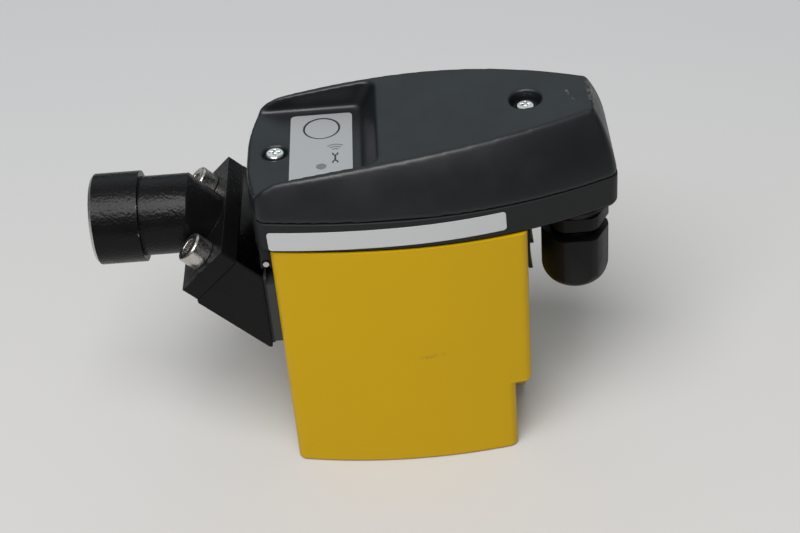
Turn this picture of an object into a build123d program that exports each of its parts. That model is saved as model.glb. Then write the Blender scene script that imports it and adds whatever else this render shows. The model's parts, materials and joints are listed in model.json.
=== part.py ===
from build123d import *
import os
from math import cos, radians, sin, sqrt

# Electronic condensate drain: a hooded control unit clipped onto a service unit.
# X runs along the drain with the inlet at -X, Y runs across, Z points up.
# The origin is the centre of the bottom of the bounding box. All sizes are in millimetres.

os.makedirs("parts", exist_ok=True)

# ---------------------------------------------------------------- stations along and up the drain
inlet_face_x = -82.0
inlet_axis_z = 85.0
deck_z = 90.0
joint_z = 98.7
panel_z = 105.3
step_z = 28.3
gasket_z = 74.0
outlet_axis_z = 14.0

# ---------------------------------------------------------------- clearances
skin_gap = 0.3
run_gap = 0.08
margin = 1.0
screw_gap = 0.05
lining_gap = 0.4

# ---------------------------------------------------------------- service unit plan
belly_r = 189.0
belly_x = 13.5
belly_half = 32.1
shell_left_x = -25.6
shell_right_x = 53.1
shell_foot_x = 47.8
shell_wall = 2.0
shell_floor = 3.0
shell_corner_r = 3.0
small_r = 0.8
shell_foot_r = 1.0
shell_rim_gap = 0.4

# ---------------------------------------------------------------- hood plan and crown
hood_nose_x = -32.0
hood_shoulder_x = -28.4
hood_end_x = 82.0
hood_wide_x = 15.4
hood_side_step = 0.2
hood_half_width = belly_half - hood_side_step
hood_nose_r = 241.0
hood_tail_r = 154.4
hood_wall = 2.2
roof_cut = hood_wall * 4
tray_wall = 3.2
skirt_depth = 1.9
skirt_wall = 1.0
tray_floor = 2.5
tray_chamfer = 0.8
seal_margin = 0.9
seal_width = 1.4
seal_depth = 1.2
cover_post_d = 8.5
board_post_d = 6.0
brow_foot = (-29.2, 105.3)
brow_middle = (-24.0, 109.2)
brow_top = (-16.5, 112.1)
crown_nose = (-24.0, 109.9)
crown_middle = (25.0, 116.2)
crown_tail = (84.0, 118.9)
nose_round_r = 7.6
# height above the joint, then how far the sides, the tail and the nose lean in, then corner radius
hood_sections = ((0.0, 0.0, 0.0, 0.0, 4.5), (9.65, 3.6, 2.2, 0.7, 3.4), (21.6, 10.6, 7.6, 1.6, 1.6))

# ---------------------------------------------------------------- keypad well in the hood
well_half = 22.9
well_foot_x = 4.4
well_top_x = 9.9
well_corner_r = 3.0
foil_length = 38.2
foil_width = 19.5
foil_x = -8.2
foil_thick = 0.3
foil_corner_r = 1.5
key_x = -8.1
key_y = 11.1
key_d = 10.6
key_travel = 0.4
key_rest = 0.1
key_disc_h = 1.2
key_stem_d = 4.0
key_stem_z = 101.6
lamp_y = (-9.0, -14.0)
lamp_d = 3.2
lamp_chip_h = 0.9

# ---------------------------------------------------------------- cover screws
nose_screw_x = -22.7
tail_screw_x = 55.5
cover_screw_d = 3.0
cover_head_d = 6.0
cover_head_h = 2.4
nose_bore_d = 7.7
tail_bore_d = 9.6
nose_seat_z = 103.0
tail_seat_z = 113.6
tail_post_rise = 3.6
screw_tip_z = 93.2
cross_slot = 3.4

# ---------------------------------------------------------------- container, lid and reservoir
cavity_left_x = -20.0
cavity_right_x = 12.0
cavity_wall = 3.2
cavity_floor_z = 8.0
shell_screw_x = 17.0
shell_screw_y = 20.0
shell_head_d = 7.0
shell_head_h = 1.6
shell_seat_z = 2.0
shell_screw_tip_z = 14.0
pad_half = 26.0
pad_face_x = -28.2
pad_bottom_z = 51.0
gasket_thick = 0.8
lid_screw_xy = ((-21.3, 21.3), (-21.3, -21.3), (46.2, 20.5), (46.2, -20.5))
lid_screw_d = 4.0
lid_head_d = 7.0
lid_head_h = 4.0
lid_hex_key = 3.0
lid_screw_tip_z = 65.0
lid_boss_r = 4.6

# ---------------------------------------------------------------- pilot and diaphragm valve
valve_x = 32.0
chamber_r = 13.0
rim_r = 16.5
rim_depth = 2.0
pocket_z = 66.0
seat_z = 70.0
seat_bottom_z = 60.0
seat_od = 13.0
discharge_d = 9.0
riser_x = 22.2
riser_d = 5.0
chamber_roof_z = 81.0
core_r = 7.5
core_base_z = 72.2
core_disc_h = 1.8
core_boss_d = 6.0
core_boss_h = 1.6
core_spring_wire = 0.9
core_spring_d = 9.5
web_thick = 1.0
seat_lip = 0.6
nozzle_d = 5.0
nozzle_bore_d = 1.6
nozzle_root_z = 82.0
nozzle_top_z = 88.0
armature_d = 7.5
armature_length = 13.0
armature_lift = 1.8
armature_seal_d = 5.0
armature_seal_h = 2.0
armature_pocket_d = 5.2
armature_spring_z = 96.0
armature_spring_wire = 0.5
spring_turns = 3
tube_od = 9.0
tube_flange_d = 16.0
tube_flange_h = 2.0
tube_top_z = 111.0
tube_cap = 1.5
return_duct_y = 19.0
return_duct_d = 2.0
duct_foot_z = 20.0
pilot_well_d = 10.0
pilot_well_z = 84.0
tube_ring_d = 13.0
tube_ring_z = 86.8

# ---------------------------------------------------------------- level sensor
sensor_x = -4.0
sensor_od = 11.0
sensor_wall = 1.2
sensor_tip_z = 11.0
sensor_flange_d = 16.0
sensor_flange_h = 3.0
sensor_ring_h = 1.5
probe_d = 7.4
sensor_ring_d = 14.4

# ---------------------------------------------------------------- inlet adapter, block and flange
collar_d = 29.0
collar_length = 15.4
collar_chamfer = 0.9
neck_d = 25.3
neck_end_x = -52.8
neck_tilt = 7.6
inlet_minor_d = 18.63
inlet_thread_length = 15.0
inlet_bore_d = 15.0
flange_centre = (-47.4, 80.9)
flange_length = 20.0
flange_width = 52.0
flange_thick = 5.8
flange_corner_r = 1.0
cone_end_d = 18.6
passage_d = 12.0
block_gasket = 0.9
flange_screw_y = 18.0
flange_screw_d = 6.0
flange_head_d = 10.0
flange_head_h = 6.0
flange_screw_length = 35.0
hex_key = 5.0
flange_screw_relief = 1.0
passage_reach = 36.0
passage_rise = 12.0
o_ring_d = 1.8
o_ring_squeeze = 0.4
block_toe_flat = 1.2
block_edge_r = 0.6
seal_inset = 0.8
head_chamfer = 0.5

# ---------------------------------------------------------------- outlet bush
outlet_minor_d = 11.445
outlet_thread_length = 11.0
bush_shank_d = 17.0
bush_collar_d = 20.0
bush_collar = 4.8
bush_inner_x = 37.0
bush_flats = 17.0

# ---------------------------------------------------------------- cable gland
gland_x = 70.25
gland_boss_d = 20.0
gland_boss_bottom_z = 79.5
gland_stub_d = 15.8
gland_across_flats = 20.0
gland_corner_d = 21.7
gland_hex_h = 5.0
gland_ring_h = 1.5
gland_tail_d = 14.8
gland_tail_bottom_z = 56.0
gland_bore_d = 12.2
gland_nut_top_z = 69.1
gland_nut_bottom_z = 48.5
gland_dome_r = 6.5
gland_mouth_d = 9.4
cable_bore_d = 8.0
insert_h = 12.0
insert_reach = 2.5

# ---------------------------------------------------------------- release latch and hook pin
latch_pivot = (55.6, 86.4)
latch_pin_d = 2.2
latch_barrel_d = 4.6
latch_half = 6.0
latch_inner_x = 53.9
latch_thick = 1.7
latch_tip_z = 67.0
latch_lip = 2.7
latch_tooth_z = (69.2, 72.0)
latch_tooth_half = 5.2
latch_tooth_x = 51.7
latch_tooth_flat = 1.0
lug_outer = 9.4
latch_play = 0.6
lug_r = 2.2
lug_reach = 2.0
hook_pin = (-27.5, 80.9)
hook_pin_d = 2.0
hook_inner = 19.5
hook_outer = 24.0
hook_bottom_z = 78.7
hook_half = 2.0
pin_overhang = 0.8
lug_half = 2.3
lug_bottom_z = 84.0

# ---------------------------------------------------------------- electronics
board_left_x = -17.0
board_right_x = 50.0
board_half = 21.0
board_z = 96.0
board_thick = 1.6
coil_d = 20.0
coil_bore_d = 9.5
yoke_thick = 1.5
yoke_half = 10.0
yoke_top_z = 109.0
yoke_left_x = 21.0
board_screw_xy = ((-13.0, 17.5), (-13.0, -17.5), (46.5, 17.5), (46.5, -17.5))
board_screw_d = 2.2
switch_size = 6.0
switch_h = 2.6
capacitor_d = 7.0
capacitor_h = 4.5
capacitor_xy = ((12.5, 14.0), (12.5, 4.5), (12.5, -5.0))
terminal_at = (34.5, -16.0)
terminal_length = 16.0
terminal_width = 8.0
terminal_h = 9.0
terminal_pitch = 5.0
terminal_ways = 3

# ---------------------------------------------------------------- rating label
label_centre = (10.5, 93.1)
label_length = 72.3
label_height = 6.6
label_corner_r = 1.0
label_tilt = 1.3
label_thick = 0.2

# ---------------------------------------------------------------- derived places
skirt_bottom_z = deck_z - skirt_depth
shell_rim_z = skirt_bottom_z - shell_rim_gap
lining_inset = shell_wall + lining_gap
lining_left_x = shell_left_x + lining_inset
lining_right_x = shell_right_x - lining_inset
lid_bottom_z = gasket_z + gasket_thick
rim_z = gasket_z - rim_depth
board_top_z = board_z + board_thick
block_face_x = pad_face_x - block_gasket
yoke_right_x = valve_x + coil_d / 2 + skin_gap + yoke_thick
key_floor_z = panel_z + foil_thick - key_disc_h - key_travel - key_rest
fixed_core_z = nozzle_top_z + armature_length + armature_lift
tray_deck_z = deck_z + tray_floor

# The inlet flange lies on a plane tilted 45 degrees, facing up and out along -X.
flange_out = Vector(-1, 0, 1).normalized()
flange_up = Vector(1, 0, 1).normalized()
flange_origin = Vector(flange_centre[0], 0, flange_centre[1])
flange_plane = Plane(origin=flange_origin, x_dir=(0, 1, 0), z_dir=flange_out)
flange_back_plane = flange_plane.offset(-flange_thick)
neck_end_plane = Plane(
    origin=(neck_end_x, 0, inlet_axis_z),
    x_dir=(0, 1, 0),
    z_dir=(-cos(radians(neck_tilt)), 0, sin(radians(neck_tilt))),
)


# ---------------------------------------------------------------- shared outlines
def belly(x, inset):
    """Half width of the bellied service unit at station x."""
    return belly_half - belly_r + sqrt((belly_r - inset) ** 2 - (x - belly_x) ** 2)


def service_plan(left_x, right_x, inset, corner_r):
    """Plan of the service unit: flat ends and two bellied sides."""
    left_y = belly(left_x, inset)
    right_y = belly(right_x, inset)
    middle_x = (left_x + right_x) / 2
    middle_y = belly(middle_x, inset)
    with BuildSketch() as plan:
        with BuildLine():
            ThreePointArc((left_x, -left_y), (middle_x, -middle_y), (right_x, -right_y))
            Line((right_x, -right_y), (right_x, right_y))
            ThreePointArc((right_x, right_y), (middle_x, middle_y), (left_x, left_y))
            Line((left_x, left_y), (left_x, -left_y))
        make_face()
        fillet(plan.vertices(), corner_r)
    return plan.sketch


def service_form(low_z, inset):
    """Service unit volume drawn in by an inset: a narrower foot under a rounded step."""
    left_x = shell_left_x + inset
    foot_x = shell_foot_x - inset
    right_x = shell_right_x - inset
    notch_z = step_z + inset
    corner_r = max(shell_corner_r - inset, small_r)
    foot_plan = service_plan(left_x, foot_x, inset, corner_r)
    full_plan = service_plan(left_x, right_x, inset, corner_r)
    bow = corner_r * (1 - sin(radians(45)))
    with BuildPart() as form:
        with BuildSketch(Plane.XY.offset(low_z)):
            add(foot_plan)
        extrude(amount=shell_rim_z - low_z)
        with BuildSketch(Plane.XY.offset(notch_z)):
            add(full_plan)
        extrude(amount=shell_rim_z - notch_z)
        with BuildSketch(Plane.XZ):
            with BuildLine():
                ThreePointArc(
                    (right_x - corner_r, notch_z),
                    (right_x - bow, notch_z + bow),
                    (right_x, notch_z + corner_r),
                )
                Polyline(
                    (right_x, notch_z + corner_r),
                    (right_x + 1, notch_z + corner_r),
                    (right_x + 1, notch_z - 1),
                    (right_x - corner_r, notch_z - 1),
                    (right_x - corner_r, notch_z),
                )
            make_face()
        extrude(amount=belly_half, both=True, mode=Mode.SUBTRACT)
    return form.part


def hood_half(x, inset):
    """Half width of the hood at station x."""
    radius = hood_tail_r if x > hood_wide_x else hood_nose_r
    return hood_half_width - radius + sqrt((radius - inset) ** 2 - (x - hood_wide_x) ** 2)


def hood_plan(side_inset, tail_inset, nose_inset, corner_r):
    """Boat-shaped plan of the hood: rounded nose, bellied sides, square tail."""
    shoulder_x = hood_shoulder_x + nose_inset
    tail_x = hood_end_x - tail_inset
    fore_x = (shoulder_x + hood_wide_x) / 2
    aft_x = (tail_x + hood_wide_x) / 2
    shoulder = (shoulder_x, hood_half(shoulder_x, side_inset))
    fore = (fore_x, hood_half(fore_x, side_inset))
    wide = (hood_wide_x, hood_half_width - side_inset)
    aft = (aft_x, hood_half(aft_x, side_inset))
    tail = (tail_x, hood_half(tail_x, side_inset))
    with BuildSketch() as plan:
        with BuildLine():
            ThreePointArc(shoulder, fore, wide)
            ThreePointArc(wide, aft, tail)
            Line(tail, (tail[0], -tail[1]))
            ThreePointArc((tail[0], -tail[1]), (aft[0], -aft[1]), (wide[0], -wide[1]))
            ThreePointArc((wide[0], -wide[1]), (fore[0], -fore[1]), (shoulder[0], -shoulder[1]))
            ThreePointArc((shoulder[0], -shoulder[1]), (hood_nose_x + nose_inset, 0), shoulder)
        make_face()
        corners = [v for v in plan.vertices() if abs(v.X - hood_wide_x) > 1]
        fillet(corners, corner_r)
    return plan.sketch


def tray_plan(inset):
    """The hood's plan at the joint, drawn in by a wall."""
    return hood_plan(inset, inset, inset, max(hood_sections[0][4] - inset, 0.8))


def hood_form(wall):
    """Lofted flanks of the hood, drawn in by a wall."""
    with BuildPart() as form:
        for height, side, tail, nose, corner in hood_sections:
            outline = hood_plan(side + wall, tail + wall, nose + wall, max(corner - wall, 0.6))
            with BuildSketch(Plane.XY.offset(joint_z + height)):
                add(outline)
        loft()
    return form.part


def crown_form(drop):
    """Everything under the hood's crown, which rises from the nose to the tail."""
    left = (crown_nose[0] + drop, crown_nose[1] - drop)
    middle = (crown_middle[0], crown_middle[1] - drop)
    right = (crown_tail[0], crown_tail[1] - drop)
    bow = nose_round_r * (1 - sin(radians(45)))
    front = (left[0] - nose_round_r, left[1] - nose_round_r)
    outer_x = hood_nose_x - 1
    with BuildPart() as form:
        with BuildSketch(Plane.XZ):
            with BuildLine():
                ThreePointArc(front, (front[0] + bow, left[1] - bow), left)
                ThreePointArc(left, middle, right)
                Polyline(right, (right[0], joint_z), (outer_x, joint_z), (outer_x, front[1]), front)
            make_face()
        extrude(amount=hood_half_width + margin, both=True)
    return form.part


def well_form(wall):
    """The keypad well, open at the nose, or the same form grown by the wall around it."""
    floor_z = panel_z - wall
    top_z = crown_tail[1] + 2
    slope = (well_top_x - well_foot_x) / 10
    top_x = well_foot_x + slope * (top_z - panel_z) + wall
    with BuildPart() as form:
        with BuildSketch(Plane.XZ):
            with BuildLine():
                Polyline(
                    (hood_nose_x - 4, floor_z),
                    (well_foot_x + wall, floor_z),
                    (top_x, top_z),
                    (hood_nose_x - 4, top_z),
                    (hood_nose_x - 4, floor_z),
                )
            make_face()
        extrude(amount=well_half + wall, both=True)
        slanted = form.faces().filter_by(Plane.XZ).edges().filter_by_position(
            Axis.X, well_foot_x + wall, top_x
        )
        rising = [e for e in slanted if e.center().Z > floor_z + 2 and e.center().Z < top_z - 2]
        fillet(rising, well_corner_r)
    return form.part


def brow_relief():
    """What is missing above the panel at the nose, where the well's walls end in a bow."""
    outer_x = hood_nose_x - 1
    with BuildPart() as form:
        with BuildSketch(Plane.XZ):
            with BuildLine():
                ThreePointArc(brow_foot, brow_middle, brow_top)
                Polyline(
                    brow_top,
                    (brow_top[0], crown_tail[1]),
                    (outer_x, crown_tail[1]),
                    (outer_x, brow_foot[1]),
                    brow_foot,
                )
            make_face()
        extrude(amount=hood_half_width + margin, both=True)
    return form.part


def screw(head_d, head_h, shank_d, seat_z, tip_z, cross):
    """Pan-head screw standing along Z, with a cross recess."""
    with BuildPart() as fastener:
        with BuildSketch(Plane.XY.offset(seat_z)):
            Circle(head_d / 2)
        extrude(amount=head_h)
        fillet(fastener.faces().sort_by(Axis.Z)[-1].edges(), head_h * 0.35)
        with BuildSketch(Plane.XY.offset(tip_z)):
            Circle(shank_d / 2)
        extrude(amount=seat_z - tip_z)
        with BuildSketch(Plane.XY.offset(seat_z + head_h)):
            Rectangle(cross, cross / 4)
            Rectangle(cross / 4, cross)
        extrude(amount=-head_h * 0.6, mode=Mode.SUBTRACT)
    return fastener.part


def ring(outer_d, inner_d, low_z, high_z):
    """A seal or bush ring standing along Z."""
    with BuildPart() as washer:
        with BuildSketch(Plane.XY.offset(low_z)):
            Circle(outer_d / 2)
            Circle(inner_d / 2, mode=Mode.SUBTRACT)
        extrude(amount=high_z - low_z)
    return washer.part


def coil_spring(wire_d, mean_d, low_z, high_z, turns):
    """Compression spring between two seats."""
    travel = high_z - low_z - wire_d
    with BuildPart() as spring:
        with BuildLine() as path:
            Helix(pitch=travel / turns, height=travel, radius=mean_d / 2, center=(0, 0, low_z + wire_d / 2))
        with BuildSketch(Plane(origin=path.line @ 0, z_dir=path.line % 0)):
            RegularPolygon(wire_d / 2, 6)
        sweep()
    return spring.part


def discs(plane, diameter, *points):
    """Round profiles on a plane, one at each point."""
    with BuildSketch(plane) as sketch:
        with Locations(*points):
            Circle(diameter / 2)
    return sketch.sketch


def panels(plane, length, width, *points):
    """Rectangular profiles on a plane, one at each point."""
    with BuildSketch(plane) as sketch:
        with Locations(*points):
            Rectangle(length, width)
    return sketch.sketch


def finish(part, name):
    """Label one sub-part and write its STEP file."""
    part.label = name
    export_step(part, f"parts/{name}.step")


# Cutters and linings shared by several sub-parts.
shell_outer = service_form(0, 0)
shell_inner = service_form(shell_floor, shell_wall)
lining = service_form(shell_floor, lining_inset)
lid_plan = service_plan(lining_left_x, lining_right_x, lining_inset, small_r)
cavity = service_plan(cavity_left_x, cavity_right_x, lining_inset + cavity_wall, shell_corner_r)

# ================================================================ service unit
# ---------------------------------------------------------------- yellow shell
with BuildPart() as yellow_shell:
    add(shell_outer)
    fillet(yellow_shell.faces().sort_by(Axis.Z)[0].edges(), shell_foot_r)
    add(shell_inner, mode=Mode.SUBTRACT)
    # slot in the inlet end for the container's pad and the hood's hooks
    slot_low_z = pad_bottom_z - lining_gap
    with BuildSketch(Plane.YZ.offset(shell_left_x - 1)):
        with Locations((0, (slot_low_z + deck_z) / 2)):
            Rectangle(2 * (pad_half + lining_gap), deck_z - slot_low_z)
    extrude(amount=shell_wall + 2, mode=Mode.SUBTRACT)
    # window that the release latch bites into
    with BuildSketch(Plane.YZ.offset(shell_right_x - shell_wall - 1)):
        with Locations((0, (latch_tooth_z[0] + latch_tooth_z[1]) / 2)):
            Rectangle(
                2 * (latch_tooth_half + latch_play),
                latch_tooth_z[1] - latch_tooth_z[0] + 2 * latch_play,
            )
    extrude(amount=shell_wall + 2, mode=Mode.SUBTRACT)
    # round hole for the outlet bush
    with BuildSketch(Plane.YZ.offset(shell_foot_x - shell_wall - 1)):
        with Locations((0, outlet_axis_z)):
            Circle(bush_shank_d / 2 + skin_gap)
    extrude(amount=shell_wall + 2, mode=Mode.SUBTRACT)
    # counterbored holes for the two screws that hold the shell to the container
    with BuildSketch():
        with Locations((shell_screw_x, shell_screw_y), (shell_screw_x, -shell_screw_y)):
            Circle(shell_head_d / 2 + skin_gap)
    extrude(amount=shell_seat_z, mode=Mode.SUBTRACT)
    with BuildSketch():
        with Locations((shell_screw_x, shell_screw_y), (shell_screw_x, -shell_screw_y)):
            Circle(lid_screw_d / 2 + skin_gap)
    extrude(amount=shell_floor + 1, mode=Mode.SUBTRACT)
finish(yellow_shell.part, "yellow_shell")

# ---------------------------------------------------------------- container
with BuildPart() as container:
    add(lining)
    with BuildSketch(Plane.XY.offset(gasket_z)):
        Rectangle(4 * hood_end_x, 4 * hood_end_x)
    extrude(amount=deck_z, mode=Mode.SUBTRACT)
    # pad that carries the inlet block, standing out through the shell's slot
    with BuildSketch(Plane.YZ.offset(pad_face_x)):
        with Locations((0, (pad_bottom_z + gasket_z) / 2)):
            Rectangle(2 * pad_half, gasket_z - pad_bottom_z)
    extrude(amount=lining_left_x - pad_face_x + small_r)
    # reservoir, with bosses left standing for the lid screws
    with BuildSketch(Plane.XY.offset(cavity_floor_z)):
        add(cavity)
        with Locations(*lid_screw_xy):
            Circle(lid_boss_r, mode=Mode.SUBTRACT)
    extrude(amount=gasket_z, mode=Mode.SUBTRACT)
    # slanting inlet passage from the pad into the reservoir
    with BuildSketch(flange_back_plane):
        Circle(passage_d / 2)
    extrude(amount=-passage_reach, mode=Mode.SUBTRACT)
    # pocket under the diaphragm, its rim seat, the riser and the discharge bore
    with BuildSketch(Plane.XY.offset(pocket_z)):
        with Locations((valve_x, 0)):
            Circle(chamber_r)
    extrude(amount=gasket_z, mode=Mode.SUBTRACT)
    with BuildSketch(Plane.XY.offset(rim_z)):
        with Locations((valve_x, 0)):
            Circle(rim_r + screw_gap)
    extrude(amount=gasket_z, mode=Mode.SUBTRACT)
    with BuildSketch(Plane.XY.offset(seat_bottom_z)):
        with Locations((valve_x, 0)):
            Circle(seat_od / 2 + screw_gap)
    extrude(amount=gasket_z, mode=Mode.SUBTRACT)
    with BuildSketch(Plane.XY.offset(outlet_axis_z)):
        with Locations((valve_x, 0)):
            Circle(discharge_d / 2)
    extrude(amount=gasket_z, mode=Mode.SUBTRACT)
    with BuildSketch(Plane.XY.offset(cavity_floor_z + riser_d / 2)):
        with Locations((riser_x, 0)):
            Circle(riser_d / 2)
    extrude(amount=gasket_z, mode=Mode.SUBTRACT)
    with BuildSketch(Plane.YZ.offset(cavity_right_x - 1)):
        with Locations((0, cavity_floor_z + riser_d / 2)):
            Circle(riser_d / 2)
    extrude(amount=riser_x - cavity_right_x + 1, mode=Mode.SUBTRACT)
    with BuildSketch(Plane.YZ.offset(valve_x)):
        with Locations((0, outlet_axis_z)):
            Circle(discharge_d / 2)
    extrude(amount=bush_inner_x - valve_x + 1, mode=Mode.SUBTRACT)
    with BuildSketch(Plane.YZ.offset(bush_inner_x)):
        with Locations((0, outlet_axis_z)):
            Circle(bush_shank_d / 2 + screw_gap)
    extrude(amount=shell_right_x, mode=Mode.SUBTRACT)
    # pilot return duct beside the valve
    with BuildSketch(Plane.XY.offset(duct_foot_z)):
        with Locations((valve_x, return_duct_y)):
            Circle(return_duct_d / 2)
    extrude(amount=gasket_z, mode=Mode.SUBTRACT)
    with BuildSketch(Plane.XZ.offset(-return_duct_y)):
        with Locations((valve_x, duct_foot_z)):
            Circle(return_duct_d / 2)
    extrude(amount=return_duct_y, mode=Mode.SUBTRACT)
    # threaded holes for the flange screws, the lid screws and the shell screws
    with BuildSketch(flange_back_plane):
        with Locations((flange_screw_y, 0), (-flange_screw_y, 0)):
            Circle(flange_screw_d / 2 + screw_gap)
    extrude(amount=flange_thick - flange_screw_length - flange_screw_relief, mode=Mode.SUBTRACT)
    with BuildSketch(Plane.XY.offset(lid_screw_tip_z - 1)):
        with Locations(*lid_screw_xy):
            Circle(lid_screw_d / 2 + screw_gap)
    extrude(amount=gasket_z, mode=Mode.SUBTRACT)
    with BuildSketch():
        with Locations((shell_screw_x, shell_screw_y), (shell_screw_x, -shell_screw_y)):
            Circle(lid_screw_d / 2 + screw_gap)
    extrude(amount=shell_screw_tip_z + 1, mode=Mode.SUBTRACT)
finish(container.part, "container")

# ---------------------------------------------------------------- gasket between container and lid
with BuildPart() as lid_gasket:
    with BuildSketch(Plane.XY.offset(gasket_z)):
        add(lid_plan)
        add(cavity, mode=Mode.SUBTRACT)
        with Locations(*lid_screw_xy):
            Circle(lid_boss_r - screw_gap)
        with Locations(*lid_screw_xy):
            Circle(lid_screw_d / 2 + skin_gap, mode=Mode.SUBTRACT)
        with Locations((valve_x, 0)):
            Circle(rim_r + screw_gap, mode=Mode.SUBTRACT)
        with Locations((valve_x, return_duct_y)):
            Circle(return_duct_d / 2, mode=Mode.SUBTRACT)
    extrude(amount=gasket_thick)
finish(lid_gasket.part, "lid_gasket")

# ---------------------------------------------------------------- lid of the service unit
with BuildPart() as service_lid:
    with BuildSketch(Plane.XY.offset(lid_bottom_z)):
        add(lid_plan)
    extrude(amount=deck_z - lid_bottom_z)
    # face plate in the shell's slot and the two lugs that hold the hook pin
    with BuildSketch(Plane.YZ.offset(shell_left_x + lining_gap)):
        with Locations((0, (lid_bottom_z + deck_z) / 2)):
            Rectangle(2 * pad_half, deck_z - lid_bottom_z)
    extrude(amount=lining_left_x - shell_left_x - lining_gap + small_r)
    with BuildSketch(Plane.XZ.offset(-hook_inner + skin_gap)):
        with Locations((hook_pin[0] + lug_reach / 2, hook_pin[1])):
            Rectangle(lug_reach + 2 * lug_r, 2 * lug_r)
    extrude(amount=2 * (hook_inner - skin_gap))
    with BuildSketch(Plane.XZ.offset(-hook_inner)):
        with Locations(hook_pin):
            Circle(hook_pin_d / 2)
    extrude(amount=2 * hook_inner, mode=Mode.SUBTRACT)
    # control chamber over the diaphragm and the pilot passages above it
    for bore_d, low_z, high_z in (
        (2 * chamber_r, lid_bottom_z, chamber_roof_z),
        (nozzle_bore_d, chamber_roof_z, nozzle_root_z),
        (nozzle_d, nozzle_root_z, nozzle_top_z),
        (pilot_well_d, pilot_well_z, nozzle_top_z),
        (tube_ring_d, tube_ring_z, nozzle_top_z),
        (tube_flange_d + 2 * screw_gap, deck_z - tube_flange_h, deck_z + 1),
    ):
        with BuildSketch(Plane.XY.offset(low_z)):
            with Locations((valve_x, 0)):
                Circle(bore_d / 2)
        extrude(amount=high_z - low_z, mode=Mode.SUBTRACT)
    with BuildSketch(Plane.XZ.offset(-return_duct_y)):
        with Locations((valve_x, pilot_well_z + return_duct_d)):
            Circle(return_duct_d / 2)
    extrude(amount=return_duct_y, mode=Mode.SUBTRACT)
    with BuildSketch(Plane.XY.offset(lid_bottom_z)):
        with Locations((valve_x, return_duct_y)):
            Circle(return_duct_d / 2)
    extrude(amount=pilot_well_z + return_duct_d - lid_bottom_z, mode=Mode.SUBTRACT)
    # stepped hole for the sensor tube and its ring
    for bore_d, low_z in (
        (sensor_od + 2 * skin_gap, lid_bottom_z - 1),
        (sensor_ring_d, deck_z - sensor_flange_h - sensor_ring_h),
        (sensor_flange_d + 2 * skin_gap, deck_z - sensor_flange_h),
    ):
        with BuildSketch(Plane.XY.offset(low_z)):
            with Locations((sensor_x, 0)):
                Circle(bore_d / 2)
        extrude(amount=deck_z + 1 - low_z, mode=Mode.SUBTRACT)
    # counterbored holes for the lid screws
    with BuildSketch(Plane.XY.offset(lid_bottom_z - 1)):
        with Locations(*lid_screw_xy):
            Circle(lid_screw_d / 2 + skin_gap)
    extrude(amount=deck_z, mode=Mode.SUBTRACT)
    with BuildSketch(Plane.XY.offset(deck_z - lid_head_h)):
        with Locations(*lid_screw_xy):
            Circle(lid_head_d / 2 + skin_gap)
    extrude(amount=lid_head_h + 1, mode=Mode.SUBTRACT)
finish(service_lid.part, "service_lid")

# ---------------------------------------------------------------- lid screws and shell screws
with BuildPart() as lid_screws:
    with BuildSketch(Plane.XY.offset(deck_z - lid_head_h)):
        with Locations(*lid_screw_xy):
            Circle(lid_head_d / 2)
    extrude(amount=lid_head_h - skin_gap)
    with BuildSketch(Plane.XY.offset(lid_screw_tip_z)):
        with Locations(*lid_screw_xy):
            Circle(lid_screw_d / 2)
    extrude(amount=deck_z - lid_head_h - lid_screw_tip_z)
    with BuildSketch(Plane.XY.offset(deck_z - skin_gap)):
        with Locations(*lid_screw_xy):
            RegularPolygon(lid_hex_key / 2, 6, major_radius=False)
    extrude(amount=-lid_head_h / 2, mode=Mode.SUBTRACT)
finish(lid_screws.part, "lid_screws")

with BuildPart() as shell_screws:
    with BuildSketch(Plane.XY.offset(shell_seat_z - shell_head_h)):
        with Locations((shell_screw_x, shell_screw_y), (shell_screw_x, -shell_screw_y)):
            Circle(shell_head_d / 2)
    extrude(amount=shell_head_h)
    with BuildSketch(Plane.XY.offset(shell_seat_z)):
        with Locations((shell_screw_x, shell_screw_y), (shell_screw_x, -shell_screw_y)):
            Circle(lid_screw_d / 2)
    extrude(amount=shell_screw_tip_z - shell_seat_z)
    with BuildSketch(Plane.XY.offset(shell_seat_z - shell_head_h)):
        with Locations((shell_screw_x, shell_screw_y), (shell_screw_x, -shell_screw_y)):
            Rectangle(shell_head_d / 2, shell_head_d / 8)
            Rectangle(shell_head_d / 8, shell_head_d / 2)
    extrude(amount=shell_head_h / 2, mode=Mode.SUBTRACT)
finish(shell_screws.part, "shell_screws")

# ================================================================ pilot and diaphragm valve
# ---------------------------------------------------------------- valve seat ring
with BuildPart() as valve_seat:
    with BuildSketch(Plane.XZ):
        with BuildLine():
            Polyline(
                (valve_x + discharge_d / 2, seat_bottom_z),
                (valve_x + seat_od / 2, seat_bottom_z),
                (valve_x + seat_od / 2, seat_z - seat_lip),
                (valve_x + discharge_d / 2 + seat_lip, seat_z),
                (valve_x + discharge_d / 2, seat_z),
                close=True,
            )
        make_face()
    revolve(axis=Axis((valve_x, 0, 0), (0, 0, 1)))
finish(valve_seat.part, "valve_seat")

# ---------------------------------------------------------------- rubber diaphragm: thick centre, clamped rim
with BuildPart() as diaphragm:
    with BuildSketch(Plane.XZ):
        with BuildLine():
            Polyline(
                (valve_x, seat_z),
                (valve_x + core_r, seat_z),
                (valve_x + core_r, core_base_z - web_thick),
                (valve_x + chamber_r, rim_z),
                (valve_x + rim_r, rim_z),
                (valve_x + rim_r, lid_bottom_z),
                (valve_x + chamber_r, lid_bottom_z),
                (valve_x + chamber_r - web_thick, rim_z + web_thick),
                (valve_x + core_r, core_base_z),
                (valve_x, core_base_z),
                close=True,
            )
        make_face()
    revolve(axis=Axis((valve_x, 0, 0), (0, 0, 1)))
finish(diaphragm.part, "diaphragm")

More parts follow.
